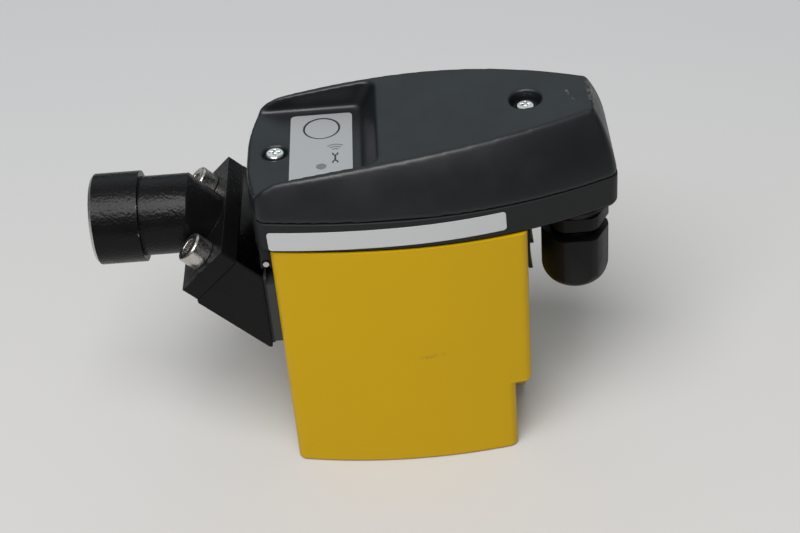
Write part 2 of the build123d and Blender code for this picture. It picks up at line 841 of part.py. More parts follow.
# ---------------------------------------------------------------- support disc that lifts with the diaphragm
with BuildPart() as valve_core:
    with BuildSketch(Plane.XY.offset(core_base_z)):
        with Locations((valve_x, 0)):
            Circle(core_r)
    extrude(amount=core_disc_h)
    with BuildSketch(Plane.XY.offset(core_base_z + core_disc_h)):
        with Locations((valve_x, 0)):
            Circle(core_boss_d / 2)
    extrude(amount=core_boss_h)
finish(valve_core.part, "valve_core")

core_spring = coil_spring(
    core_spring_wire, core_spring_d, core_base_z + core_disc_h, chamber_roof_z, spring_turns
)
with BuildPart() as diaphragm_spring:
    with Locations((valve_x, 0, 0)):
        add(core_spring)
finish(diaphragm_spring.part, "diaphragm_spring")

# ---------------------------------------------------------------- pilot nozzle, core tube and armature
with BuildPart() as pilot_nozzle:
    with Locations((valve_x, 0, 0)):
        add(ring(nozzle_d - 2 * screw_gap, nozzle_bore_d, nozzle_root_z, nozzle_top_z))
    chamfer(pilot_nozzle.faces().sort_by(Axis.Z)[-1].edges().sort_by(SortBy.LENGTH)[-1], nozzle_bore_d / 2)
finish(pilot_nozzle.part, "pilot_nozzle")

with BuildPart() as core_tube:
    with BuildSketch(Plane.XY.offset(nozzle_top_z)):
        with Locations((valve_x, 0)):
            Circle(tube_flange_d / 2)
    extrude(amount=tube_flange_h)
    with BuildSketch(Plane.XY.offset(nozzle_top_z)):
        with Locations((valve_x, 0)):
            Circle(tube_od / 2)
    extrude(amount=tube_top_z - nozzle_top_z)
    fillet(core_tube.faces().sort_by(Axis.Z)[-1].edges(), small_r)
    with BuildSketch(Plane.XY.offset(nozzle_top_z)):
        with Locations((valve_x, 0)):
            Circle(armature_d / 2 + run_gap)
    extrude(amount=tube_top_z - tube_cap - nozzle_top_z, mode=Mode.SUBTRACT)
finish(core_tube.part, "core_tube")

with BuildPart() as tube_ring:
    with Locations((valve_x, 0, 0)):
        add(ring(tube_ring_d - 2 * screw_gap, pilot_well_d, tube_ring_z, nozzle_top_z))
finish(tube_ring.part, "tube_ring")

with BuildPart() as armature:
    with BuildSketch(Plane.XY.offset(nozzle_top_z)):
        with Locations((valve_x, 0)):
            Circle(armature_d / 2)
    extrude(amount=armature_length)
    with BuildSketch(Plane.XY.offset(nozzle_top_z)):
        with Locations((valve_x, 0)):
            Circle(armature_seal_d / 2)
    extrude(amount=armature_seal_h, mode=Mode.SUBTRACT)
    with BuildSketch(Plane.XY.offset(armature_spring_z)):
        with Locations((valve_x, 0)):
            Circle(armature_pocket_d / 2)
    extrude(amount=armature_length, mode=Mode.SUBTRACT)
finish(armature.part, "armature")

with BuildPart() as armature_seal:
    with BuildSketch(Plane.XY.offset(nozzle_top_z)):
        with Locations((valve_x, 0)):
            Circle(armature_seal_d / 2 - screw_gap)
    extrude(amount=armature_seal_h)
finish(armature_seal.part, "armature_seal")

with BuildPart() as fixed_core:
    with BuildSketch(Plane.XY.offset(fixed_core_z)):
        with Locations((valve_x, 0)):
            Circle(armature_d / 2)
    extrude(amount=tube_top_z - tube_cap - fixed_core_z)
finish(fixed_core.part, "fixed_core")

pilot_spring_d = armature_pocket_d - armature_spring_wire - 2 * skin_gap
pilot_spring = coil_spring(
    armature_spring_wire, pilot_spring_d, armature_spring_z, fixed_core_z, spring_turns
)
with BuildPart() as armature_spring:
    with Locations((valve_x, 0, 0)):
        add(pilot_spring)
finish(armature_spring.part, "armature_spring")

# ================================================================ level sensor
with BuildPart() as sensor_tube:
    with BuildSketch(Plane.XY.offset(sensor_tip_z)):
        with Locations((sensor_x, 0)):
            Circle(sensor_od / 2)
    extrude(amount=deck_z - sensor_tip_z)
    with BuildSketch(Plane.XY.offset(deck_z - sensor_flange_h)):
        with Locations((sensor_x, 0)):
            Circle(sensor_flange_d / 2)
    extrude(amount=sensor_flange_h)
    fillet(sensor_tube.faces().sort_by(Axis.Z)[0].edges(), sensor_od / 3)
    with BuildSketch(Plane.XY.offset(sensor_tip_z + sensor_wall)):
        with Locations((sensor_x, 0)):
            Circle(sensor_od / 2 - sensor_wall)
    extrude(amount=deck_z, mode=Mode.SUBTRACT)
finish(sensor_tube.part, "sensor_tube")

with BuildPart() as sensor_ring:
    with Locations((sensor_x, 0, 0)):
        add(
            ring(
                sensor_ring_d - 2 * screw_gap,
                sensor_od + 2 * screw_gap,
                deck_z - sensor_flange_h - sensor_ring_h,
                deck_z - sensor_flange_h,
            )
        )
finish(sensor_ring.part, "sensor_ring")

with BuildPart() as sensor_probe:
    with BuildSketch(Plane.XY.offset(sensor_tip_z + sensor_wall + sensor_ring_h)):
        with Locations((sensor_x, 0)):
            Circle(probe_d / 2)
    extrude(amount=board_z - sensor_tip_z - sensor_wall - sensor_ring_h)
finish(sensor_probe.part, "sensor_probe")

# ================================================================ inlet
# ---------------------------------------------------------------- inlet adapter: collar, neck, cone, flange
with BuildPart() as inlet_adapter:
    with BuildSketch(Plane.YZ.offset(inlet_face_x)):
        with Locations((0, inlet_axis_z)):
            Circle(collar_d / 2)
    extrude(amount=collar_length)
    chamfer(inlet_adapter.faces().sort_by(Axis.X)[0].edges(), collar_chamfer)
    with BuildSketch(Plane.YZ.offset(inlet_face_x + collar_length)):
        with Locations((0, inlet_axis_z)):
            Circle(neck_d / 2)
    with BuildSketch(neck_end_plane):
        Ellipse(neck_d / 2, neck_d / 2 / cos(radians(neck_tilt)))
    with BuildSketch(flange_plane.offset(-flange_thick / 2)):
        Circle(cone_end_d / 2)
    loft(ruled=True)
    with BuildSketch(flange_plane):
        RectangleRounded(flange_width, flange_length, flange_corner_r)
    extrude(amount=-flange_thick)
    with BuildSketch(Plane.YZ.offset(inlet_face_x)):
        with Locations((0, inlet_axis_z)):
            Circle(inlet_minor_d / 2)
    extrude(amount=inlet_thread_length, mode=Mode.SUBTRACT)
    with BuildSketch(Plane.YZ.offset(inlet_face_x)):
        with Locations((0, inlet_axis_z)):
            Circle(inlet_bore_d / 2)
    extrude(amount=neck_end_x - inlet_face_x, mode=Mode.SUBTRACT)
    with BuildSketch(flange_back_plane):
        Circle(passage_d / 2)
    extrude(amount=passage_rise, mode=Mode.SUBTRACT)
    with BuildSketch(flange_back_plane):
        Circle(passage_d / 2 + o_ring_d)
    extrude(amount=o_ring_d - o_ring_squeeze, mode=Mode.SUBTRACT)
    with BuildSketch(flange_back_plane):
        with Locations((flange_screw_y, 0), (-flange_screw_y, 0)):
            Circle(flange_screw_d / 2 + skin_gap)
    extrude(amount=flange_thick, mode=Mode.SUBTRACT)
finish(inlet_adapter.part, "inlet_adapter")

# ---------------------------------------------------------------- ring that seals the adapter on its block
with BuildPart() as adapter_ring:
    with BuildSketch(flange_back_plane):
        Circle(passage_d / 2 + o_ring_d - screw_gap)
        Circle(passage_d / 2 + screw_gap, mode=Mode.SUBTRACT)
    extrude(amount=o_ring_d - o_ring_squeeze)
finish(adapter_ring.part, "adapter_ring")

# ---------------------------------------------------------------- inlet block: a duct leading to the container
block_top = flange_origin - flange_out * flange_thick + flange_up * (flange_length / 2)
block_toe = flange_origin - flange_out * flange_thick - flange_up * (flange_length / 2)
block_top_z = block_top.Z - (block_face_x - block_top.X)
block_toe_z = block_toe.Z - (block_face_x - block_toe.X)
with BuildPart() as inlet_block:
    with BuildSketch(Plane.XZ):
        with BuildLine():
            Polyline(
                (block_top.X, block_top.Z),
                (block_face_x, block_top_z),
                (block_face_x, block_toe_z),
                (block_face_x - block_toe_flat, block_toe_z),
                (block_toe.X, block_toe.Z - block_toe_flat),
                (block_toe.X, block_toe.Z),
                close=True,
            )
        make_face()
    extrude(amount=flange_width / 2, both=True)
    side_edges = inlet_block.edges().filter_by(Plane.XZ)
    fillet(side_edges.filter_by_position(Axis.X, inlet_face_x, block_face_x - margin), block_edge_r)
    with BuildSketch(flange_back_plane):
        Circle(passage_d / 2)
    extrude(amount=-passage_reach, mode=Mode.SUBTRACT)
    with BuildSketch(flange_back_plane):
        with Locations((flange_screw_y, 0), (-flange_screw_y, 0)):
            Circle(flange_screw_d / 2 + skin_gap)
    extrude(amount=-passage_reach, mode=Mode.SUBTRACT)
finish(inlet_block.part, "inlet_block")

# ---------------------------------------------------------------- gasket of the container's pad
with BuildPart() as block_seal:
    with BuildSketch(Plane.YZ.offset(block_face_x)):
        with Locations((0, (block_top_z + block_toe_z) / 2)):
            RectangleRounded(
                flange_width - 2 * seal_inset, block_top_z - block_toe_z - 2 * seal_inset, flange_corner_r
            )
    extrude(amount=block_gasket)
    with BuildSketch(flange_back_plane):
        Circle(passage_d / 2)
        with Locations((flange_screw_y, 0), (-flange_screw_y, 0)):
            Circle(flange_screw_d / 2 + skin_gap)
    extrude(amount=-passage_reach, mode=Mode.SUBTRACT)
finish(block_seal.part, "block_seal")

# ---------------------------------------------------------------- two long cap screws of the adapter
with BuildPart() as flange_screws:
    with BuildSketch(flange_plane):
        with Locations((flange_screw_y, 0), (-flange_screw_y, 0)):
            Circle(flange_head_d / 2)
    extrude(amount=flange_head_h)
    head_rims = flange_screws.edges().group_by(Axis(flange_origin, flange_out))[-1]
    chamfer(head_rims, head_chamfer)
    with BuildSketch(flange_plane):
        with Locations((flange_screw_y, 0), (-flange_screw_y, 0)):
            Circle(flange_screw_d / 2)
    extrude(amount=-flange_screw_length)
    with BuildSketch(flange_plane.offset(flange_head_h)):
        with Locations((flange_screw_y, 0), (-flange_screw_y, 0)):
            RegularPolygon(hex_key / 2, 6, major_radius=False)
    extrude(amount=-flange_head_h / 2, mode=Mode.SUBTRACT)
finish(flange_screws.part, "flange_screws")

# ================================================================ outlet bush, screwed in through the shell
with BuildPart() as outlet_bush:
    with BuildSketch(Plane.YZ.offset(bush_inner_x)):
        with Locations((0, outlet_axis_z)):
            Circle(bush_shank_d / 2)
    extrude(amount=shell_foot_x + bush_collar - bush_inner_x)
    with BuildSketch(Plane.YZ.offset(shell_foot_x)):
        with Locations((0, outlet_axis_z)):
            Circle(bush_collar_d / 2)
            Rectangle(bush_collar_d, bush_flats, mode=Mode.INTERSECT)
    extrude(amount=bush_collar)
    chamfer(outlet_bush.faces().sort_by(Axis.X)[-1].edges(), head_chamfer)
    with BuildSketch(Plane.YZ.offset(bush_inner_x)):
        with Locations((0, outlet_axis_z)):
            Circle(discharge_d / 2)
    extrude(amount=shell_right_x, mode=Mode.SUBTRACT)
    with BuildSketch(Plane.YZ.offset(shell_foot_x + bush_collar)):
        with Locations((0, outlet_axis_z)):
            Circle(outlet_minor_d / 2)
    extrude(amount=-outlet_thread_length, mode=Mode.SUBTRACT)
finish(outlet_bush.part, "outlet_bush")

# ================================================================ control unit
# ---------------------------------------------------------------- hook pin
with BuildPart() as hook_pin_rod:
    with BuildSketch(Plane.XZ.offset(-hook_outer - pin_overhang)):
        with Locations(hook_pin):
            Circle(hook_pin_d / 2 - screw_gap)
    extrude(amount=2 * (hook_outer + pin_overhang))
finish(hook_pin_rod.part, "hook_pin")

# ---------------------------------------------------------------- tray: the control unit's lower housing
tray_outer = tray_plan(0)
tray_inner = tray_plan(tray_wall)
groove_outer = tray_plan(seal_margin)
groove_inner = tray_plan(seal_margin + seal_width)
with BuildPart() as hood_tray:
    with BuildSketch(Plane.XY.offset(skirt_bottom_z)):
        add(tray_outer)
    extrude(amount=joint_z - skirt_bottom_z)
    chamfer(hood_tray.faces().sort_by(Axis.Z)[0].edges(), tray_chamfer)
    # recess inside the skirt that hangs over the shell's rim
    with BuildSketch(Plane.XY.offset(skirt_bottom_z)):
        add(tray_plan(skirt_wall))
    extrude(amount=skirt_depth, mode=Mode.SUBTRACT)
    with BuildSketch(Plane.XY.offset(tray_deck_z)):
        add(tray_inner)
    extrude(amount=joint_z, mode=Mode.SUBTRACT)
    # groove for the joint seal
    with BuildSketch(Plane.XY.offset(joint_z - seal_depth)):
        add(groove_outer)
        add(groove_inner, mode=Mode.SUBTRACT)
    extrude(amount=seal_depth, mode=Mode.SUBTRACT)
    # posts for the two cover screws and for the circuit board
    with BuildSketch(Plane.XY.offset(tray_deck_z)):
        with Locations((nose_screw_x, 0), (tail_screw_x, 0)):
            Circle(cover_post_d / 2)
    extrude(amount=joint_z - tray_deck_z)
    with BuildSketch(Plane.XY.offset(tray_deck_z)):
        with Locations(*board_screw_xy):
            Circle(board_post_d / 2)
    extrude(amount=board_z - tray_deck_z)
    with BuildSketch(Plane.XY.offset(screw_tip_z - small_r)):
        with Locations((nose_screw_x, 0), (tail_screw_x, 0)):
            Circle(cover_screw_d / 2 + screw_gap)
    extrude(amount=joint_z, mode=Mode.SUBTRACT)
    with BuildSketch(Plane.XY.offset(tray_deck_z)):
        with Locations(*board_screw_xy):
            Circle(board_screw_d / 2 + screw_gap)
    extrude(amount=joint_z, mode=Mode.SUBTRACT)
    # cable entry boss, hooks for the pin and lugs for the latch, all hanging from the floor
    with BuildSketch(Plane.XY.offset(gland_boss_bottom_z)):
        with Locations((gland_x, 0)):
            Circle(gland_boss_d / 2)
    extrude(amount=deck_z - gland_boss_bottom_z)
    with BuildSketch(Plane.XZ.offset(-hook_outer)):
        with Locations((hook_pin[0], (hook_bottom_z + deck_z) / 2)):
            Rectangle(2 * hook_half, deck_z - hook_bottom_z)
    extrude(amount=2 * hook_outer)
    with BuildSketch(Plane.XZ.offset(-hook_inner)):
        with Locations((hook_pin[0], (hook_bottom_z + deck_z) / 2)):
            Rectangle(2 * hook_half, deck_z - hook_bottom_z)
    extrude(amount=2 * hook_inner, mode=Mode.SUBTRACT)
    with BuildSketch(Plane.XZ.offset(-hook_outer)):
        with Locations(hook_pin):
            Circle(hook_pin_d / 2 + screw_gap)
        with Locations((hook_pin[0], hook_bottom_z)):
            Rectangle(hook_pin_d * 0.8, 2 * (hook_pin[1] - hook_bottom_z))
    extrude(amount=2 * hook_outer, mode=Mode.SUBTRACT)
    with BuildSketch(Plane.XZ.offset(-lug_outer)):
        with Locations((latch_pivot[0], (lug_bottom_z + deck_z) / 2)):
            Rectangle(2 * lug_half, deck_z - lug_bottom_z)
    extrude(amount=2 * lug_outer)
    with BuildSketch(Plane.XZ.offset(-latch_half - skin_gap)):
        with Locations((latch_pivot[0], (lug_bottom_z + deck_z) / 2)):
            Rectangle(2 * lug_half, deck_z - lug_bottom_z)
    extrude(amount=2 * (latch_half + skin_gap), mode=Mode.SUBTRACT)
    with BuildSketch(Plane.XZ.offset(-lug_outer)):
        with Locations(latch_pivot):
            Circle(latch_pin_d / 2)
    extrude(amount=2 * lug_outer, mode=Mode.SUBTRACT)
    # holes for the gland, the core tube and the level probe
    for hole_x, hole_d in (
        (gland_x, gland_stub_d + 2 * screw_gap),
        (valve_x, tube_od + 4 * skin_gap),
        (sensor_x, probe_d + 4 * skin_gap),
    ):
        with BuildSketch(Plane.XY.offset(gland_boss_bottom_z)):
            with Locations((hole_x, 0)):
                Circle(hole_d / 2)
        extrude(amount=joint_z - gland_boss_bottom_z, mode=Mode.SUBTRACT)
finish(hood_tray.part, "hood_tray")

# ---------------------------------------------------------------- joint seal in the tray's groove
with BuildPart() as hood_seal:
    with BuildSketch(Plane.XY.offset(joint_z - seal_depth)):
        add(tray_plan(seal_margin + screw_gap))
        add(tray_plan(seal_margin + seal_width - screw_gap), mode=Mode.SUBTRACT)
    extrude(amount=seal_depth)
finish(hood_seal.part, "hood_seal")

# ---------------------------------------------------------------- hood cover with its keypad well
hood_outer = hood_form(0)
hood_inner = hood_form(hood_wall)
crown_outer = crown_form(0)
crown_inner = crown_form(hood_wall)
well_inner = well_form(hood_wall)
well_outer = well_form(0)
with BuildPart() as hood_void:
    add(hood_inner)
    add(crown_inner, mode=Mode.INTERSECT)
    add(well_inner, mode=Mode.SUBTRACT)
with BuildPart() as hood_cover:
    add(hood_outer)
    add(crown_outer, mode=Mode.INTERSECT)
    add(well_outer, mode=Mode.SUBTRACT)
    add(brow_relief(), mode=Mode.SUBTRACT)
    add(hood_void.part, mode=Mode.SUBTRACT)
    # screw posts that stand on the tray's posts, with sunk heads
    nose_at = (nose_screw_x, 0)
    tail_at = (tail_screw_x, 0)
    extrude(discs(Plane.XY.offset(joint_z), cover_post_d, nose_at), amount=panel_z - hood_wall - joint_z)
    tail_post_h = tail_seat_z + tail_post_rise - joint_z
    extrude(discs(Plane.XY.offset(joint_z), tail_bore_d + hood_wall, tail_at), amount=tail_post_h)
    extrude(discs(Plane.XY.offset(nose_seat_z), nose_bore_d, nose_at), amount=roof_cut, mode=Mode.SUBTRACT)
    extrude(discs(Plane.XY.offset(tail_seat_z), tail_bore_d, tail_at), amount=roof_cut, mode=Mode.SUBTRACT)
    shank_hole_d = cover_screw_d + 2 * skin_gap
    extrude(
        discs(Plane.XY.offset(joint_z), shank_hole_d, nose_at, tail_at),
        amount=tail_seat_z - joint_z + margin,
        mode=Mode.SUBTRACT,
    )
    # pocket and stem hole for the test key, and holes for the two status lamps
    key_at = (key_x, key_y)
    pocket_d = key_d + 2 * skin_gap
    extrude(discs(Plane.XY.offset(key_floor_z), pocket_d, key_at), amount=hood_wall * 2, mode=Mode.SUBTRACT)
    stem_hole_d = key_stem_d + 2 * skin_gap
    extrude(discs(Plane.XY.offset(joint_z), stem_hole_d, key_at), amount=roof_cut, mode=Mode.SUBTRACT)
    lamp_at = [(key_x, y) for y in lamp_y]
    extrude(discs(Plane.XY.offset(joint_z), lamp_d, *lamp_at), amount=roof_cut, mode=Mode.SUBTRACT)
finish(hood_cover.part, "hood_cover")

# ---------------------------------------------------------------- cover screws
nose_screw = screw(cover_head_d, cover_head_h, cover_screw_d, nose_seat_z, screw_tip_z, cross_slot)
tail_screw = screw(cover_head_d, cover_head_h, cover_screw_d, tail_seat_z, screw_tip_z, cross_slot)
with BuildPart() as cover_screws:
    with Locations((nose_screw_x, 0, 0)):
        add(nose_screw)
    with Locations((tail_screw_x, 0, 0)):
        add(tail_screw)
finish(cover_screws.part, "cover_screws")

# ---------------------------------------------------------------- membrane foil on the well's floor
with BuildPart() as keypad_foil:
    with BuildSketch(Plane.XY.offset(panel_z)):
        with Locations((foil_x, 0)):
            RectangleRounded(foil_width, foil_length, foil_corner_r)
        with Locations((key_x, key_y)):
            Circle(pocket_d / 2, mode=Mode.SUBTRACT)
        with Locations(*lamp_at):
            Circle(lamp_d / 2, mode=Mode.SUBTRACT)
    extrude(amount=foil_thick)
finish(keypad_foil.part, "keypad_foil")

# ---------------------------------------------------------------- test key: a disc flush with the foil and its stem
with BuildPart() as test_key:
    extrude(discs(Plane.XY.offset(key_floor_z + key_travel + key_rest), key_d, key_at), amount=key_disc_h)
    extrude(
        discs(Plane.XY.offset(key_stem_z), key_stem_d, key_at),
        amount=key_floor_z + key_travel + key_rest - key_stem_z,
    )
finish(test_key.part, "test_key")

# ---------------------------------------------------------------- light guides from the board to the foil
with BuildPart() as light_guides:
    extrude(
        discs(Plane.XY.offset(board_top_z + lamp_chip_h), lamp_d - 2 * screw_gap, *lamp_at),
        amount=panel_z + foil_thick - board_top_z - lamp_chip_h,
    )
finish(light_guides.part, "light_guides")

# ---------------------------------------------------------------- circuit board, cut out around the solenoid
with BuildPart() as circuit_board:
    with BuildSketch(Plane.XY.offset(board_z)):
        with Locations(((board_left_x + board_right_x) / 2, 0)):
            RectangleRounded(board_right_x - board_left_x, 2 * board_half, foil_corner_r)
        with Locations(((yoke_left_x + yoke_right_x) / 2, 0)):
            Rectangle(yoke_right_x - yoke_left_x + 1, 2 * coil_d / 2 + 1, mode=Mode.SUBTRACT)
        with Locations(*board_screw_xy):
            Circle(board_screw_d / 2 + skin_gap, mode=Mode.SUBTRACT)
    extrude(amount=board_thick)
finish(circuit_board.part, "circuit_board")

with BuildPart() as board_screws:
    extrude(discs(Plane.XY.offset(board_top_z), 2 * board_screw_d, *board_screw_xy), amount=board_screw_d / 2)
    extrude(
        discs(Plane.XY.offset(tray_deck_z + small_r), board_screw_d, *board_screw_xy),
        amount=board_top_z - tray_deck_z - small_r,
    )
finish(board_screws.part, "board_screws")

# ---------------------------------------------------------------- what stands on the board
board_top = Plane.XY.offset(board_top_z)
with BuildPart() as key_switch:
    extrude(panels(board_top, switch_size, switch_size, key_at), amount=switch_h)
    extrude(
        discs(board_top, key_stem_d - 2 * skin_gap, key_at),
        amount=key_stem_z - key_travel - key_rest - board_top_z,
    )
finish(key_switch.part, "key_switch")

with BuildPart() as status_lamps:
    extrude(panels(board_top, lamp_d, lamp_d - 1, *lamp_at), amount=lamp_chip_h)
finish(status_lamps.part, "status_lamps")

with BuildPart() as board_capacitors:
    extrude(discs(board_top, capacitor_d, *capacitor_xy), amount=capacitor_h)
    fillet(board_capacitors.faces().group_by(Axis.Z)[-1].edges(), small_r)
finish(board_capacitors.part, "board_capacitors")

with BuildPart() as terminal_block:
    extrude(panels(board_top, terminal_length, terminal_width, terminal_at), amount=terminal_h)
    with BuildSketch(Plane.XY.offset(board_top_z + terminal_h)):
        with Locations(terminal_at):
            with GridLocations(terminal_pitch, 0, terminal_ways, 1):
                Circle(terminal_pitch / 3)
    extrude(amount=-terminal_h / 2, mode=Mode.SUBTRACT)
    with BuildSketch(Plane.XZ.offset(-terminal_at[1] + terminal_width / 2)):
        with Locations((terminal_at[0], board_top_z + terminal_h / 4)):
            with GridLocations(terminal_pitch, 0, terminal_ways, 1):
                Rectangle(terminal_pitch * 0.6, terminal_h * 0.3)
    extrude(amount=-terminal_width / 2, mode=Mode.SUBTRACT)
finish(terminal_block.part, "terminal_block")

# ---------------------------------------------------------------- solenoid coil and its steel yoke
valve_at = (valve_x, 0)
with BuildPart() as coil_yoke:
    with BuildSketch(Plane.XZ):
        with BuildLine():
            Polyline(
                (yoke_left_x, tray_deck_z),
                (yoke_right_x, tray_deck_z),
                (yoke_right_x, yoke_top_z),
                (yoke_left_x, yoke_top_z),
                (yoke_left_x, yoke_top_z - yoke_thick),
                (yoke_right_x - yoke_thick, yoke_top_z - yoke_thick),
                (yoke_right_x - yoke_thick, tray_deck_z + yoke_thick),
                (yoke_left_x, tray_deck_z + yoke_thick),
                close=True,
            )
        make_face()
    extrude(amount=yoke_half, both=True)
    extrude(discs(Plane.XY.offset(tray_deck_z), coil_bore_d, valve_at), amount=yoke_top_z, mode=Mode.SUBTRACT)
finish(coil_yoke.part, "coil_yoke")

coil_low_z = tray_deck_z + yoke_thick
coil_high_z = yoke_top_z - yoke_thick
with BuildPart() as solenoid_coil:
    extrude(discs(Plane.XY.offset(coil_low_z), coil_d, valve_at), amount=coil_high_z - coil_low_z)
    with BuildSketch(Plane.XY.offset(coil_low_z + yoke_thick)):
        with Locations(valve_at):
            Circle(coil_d / 2)
            Circle(coil_d / 2 - small_r, mode=Mode.SUBTRACT)
    extrude(amount=coil_high_z - coil_low_z - 2 * yoke_thick, mode=Mode.SUBTRACT)
    extrude(discs(Plane.XY.offset(coil_low_z), coil_bore_d, valve_at), amount=yoke_top_z, mode=Mode.SUBTRACT)
finish(solenoid_coil.part, "solenoid_coil")

# ================================================================ cable gland
gland_at = (gland_x, 0)
gland_hex_z = gland_boss_bottom_z - gland_ring_h - gland_hex_h
with BuildPart() as gland_body:
    extrude(
        discs(Plane.XY.offset(gland_tail_bottom_z), gland_tail_d, gland_at),
        amount=gland_hex_z - gland_tail_bottom_z,
    )
    extrude(discs(Plane.XY.offset(gland_hex_z), gland_stub_d, gland_at), amount=tray_deck_z - gland_hex_z)
    with BuildSketch(Plane.XY.offset(gland_hex_z)):
        with Locations(gland_at):
            RegularPolygon(gland_across_flats / 2, 6, major_radius=False)
            Circle(gland_corner_d / 2, mode=Mode.INTERSECT)
    extrude(amount=gland_hex_h)
    extrude(
        discs(Plane.XY.offset(gland_tail_bottom_z), gland_bore_d, gland_at),
        amount=tray_deck_z - gland_tail_bottom_z,
        mode=Mode.SUBTRACT,
    )
finish(gland_body.part, "gland_body")

with BuildPart() as gland_ring:
    with Locations((gland_x, 0, 0)):
        add(
            ring(
                gland_boss_d,
                gland_stub_d + 2 * screw_gap,
                gland_boss_bottom_z - gland_ring_h,
                gland_boss_bottom_z,
            )
        )
finish(gland_ring.part, "gland_ring")

with BuildPart() as gland_insert:
    with Locations((gland_x, 0, 0)):
        add(
            ring(
                gland_bore_d - 2 * screw_gap,
                cable_bore_d,
                gland_tail_bottom_z - insert_reach,
                gland_tail_bottom_z + insert_h,
            )
        )
    chamfer(gland_insert.faces().sort_by(Axis.Z)[0].edges().sort_by(SortBy.LENGTH)[-1], small_r)
finish(gland_insert.part, "gland_insert")

with BuildPart() as gland_nut:
    extrude(
        discs(Plane.XY.offset(gland_nut_bottom_z), gland_corner_d, gland_at),
        amount=gland_nut_top_z - gland_nut_bottom_z,
    )
    with BuildSketch(Plane.XY.offset(gland_nut_bottom_z)):
        with Locations(gland_at):
            RegularPolygon(gland_across_flats / 2, 6, major_radius=False)
    extrude(amount=gland_nut_top_z - gland_nut_bottom_z, mode=Mode.INTERSECT)
    with BuildSketch(Plane.XZ):
        with BuildLine():
            Polyline(
                (gland_x, gland_nut_bottom_z),
                (gland_x + gland_corner_d / 2 - gland_dome_r, gland_nut_bottom_z),
            )
            RadiusArc(
                (gland_x + gland_corner_d / 2 - gland_dome_r, gland_nut_bottom_z),
                (gland_x + gland_corner_d / 2, gland_nut_bottom_z + gland_dome_r),
                -gland_dome_r,
            )
            Polyline(
                (gland_x + gland_corner_d / 2, gland_nut_bottom_z + gland_dome_r),
                (gland_x + gland_corner_d / 2, gland_nut_top_z),
                (gland_x, gland_nut_top_z),
                (gland_x, gland_nut_bottom_z),
            )
        make_face()
    revolve(axis=Axis((gland_x, 0, 0), (0, 0, 1)), mode=Mode.INTERSECT)
    extrude(
        discs(Plane.XY.offset(gland_nut_bottom_z), gland_mouth_d, gland_at),
        amount=gland_nut_top_z,
        mode=Mode.SUBTRACT,
    )
    extrude(
        discs(
            Plane.XY.offset(gland_tail_bottom_z - insert_reach - skin_gap),
            gland_tail_d + 2 * skin_gap,
            gland_at,
        ),
        amount=gland_nut_top_z,
        mode=Mode.SUBTRACT,
    )
finish(gland_nut.part, "gland_nut")

# ================================================================ release latch
with BuildPart() as release_latch:
    with BuildSketch(Plane.XZ):
        with Locations(latch_pivot):
            Circle(latch_barrel_d / 2)
        with BuildLine():
            Polyline(
                (latch_inner_x, latch_pivot[1]),
                (latch_inner_x, latch_tip_z),
                (latch_inner_x + latch_lip, latch_tip_z),
                (latch_inner_x + latch_thick, latch_tooth_z[0]),
                (latch_inner_x + latch_thick, latch_pivot[1]),
                close=True,
            )
        make_face()
    extrude(amount=latch_half, both=True)
    with BuildSketch(Plane.XZ):
        with BuildLine():
            Polyline(
                (latch_inner_x, latch_tooth_z[1]),
                (latch_tooth_x, latch_tooth_z[1]),
                (latch_tooth_x, latch_tooth_z[1] - latch_tooth_flat),
                (latch_inner_x, latch_tooth_z[0]),
                close=True,
            )
        make_face()
    extrude(amount=latch_tooth_half, both=True)
    with BuildSketch(Plane.XZ.offset(-latch_half)):
        with Locations(latch_pivot):
            Circle(latch_pin_d / 2 + run_gap)
    extrude(amount=2 * latch_half, mode=Mode.SUBTRACT)
finish(release_latch.part, "release_latch")

with BuildPart() as latch_pin:
    with BuildSketch(Plane.XZ.offset(-lug_outer)):
        with Locations(latch_pivot):
            Circle(latch_pin_d / 2 - screw_gap)
    extrude(amount=2 * lug_outer)
finish(latch_pin.part, "latch_pin")

# ================================================================ rating label on the tray's near side
with BuildPart() as rating_label:
    with BuildSketch(Plane.XY.offset(skirt_bottom_z)):
        add(tray_plan(-label_thick))
        add(tray_outer, mode=Mode.SUBTRACT)
    extrude(amount=joint_z - skirt_bottom_z)
    with BuildSketch(Plane.XZ):
        with Locations(Location((*label_centre, 0), label_tilt)):
            RectangleRounded(label_length, label_height, label_corner_r)
    extrude(amount=hood_half_width + margin, mode=Mode.INTERSECT)
finish(rating_label.part, "rating_label")
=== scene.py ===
"""Condensate drain: finishes, small detail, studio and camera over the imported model."""

import json
from math import cos, pi, radians, sin

import bmesh
import bpy
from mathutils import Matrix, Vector


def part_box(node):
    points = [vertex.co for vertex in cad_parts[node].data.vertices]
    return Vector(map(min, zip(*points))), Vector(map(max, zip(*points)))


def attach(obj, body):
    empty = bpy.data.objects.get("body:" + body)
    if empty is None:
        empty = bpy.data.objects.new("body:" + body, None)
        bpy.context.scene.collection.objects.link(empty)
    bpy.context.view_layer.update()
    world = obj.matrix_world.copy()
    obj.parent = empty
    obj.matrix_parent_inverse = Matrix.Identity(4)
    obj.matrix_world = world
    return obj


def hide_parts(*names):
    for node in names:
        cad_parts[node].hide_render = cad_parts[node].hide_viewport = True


MM = 0.001
PRINT_THICK = 0.03
PRINT_LINE = 0.5
CORNER_ANGLE = 35
CORNER_SEGMENTS = 3
WELD_REACH = 2e-6
FLAT_ANGLE = 0.4
HOOD_VOXEL = 0.55
HOOD_PASSES = 20
MOUTH_DEPTH = 1.0
INLET_Z = 85.0
GLAND_THREAD_Z = 69.9
THREAD_STEPS = 40
THREAD_RUN_OUT = 8
THREAD_FOOT = 0.46
MOUTH_LEAD = 1.2
OUTLET_LEAD = 1.0
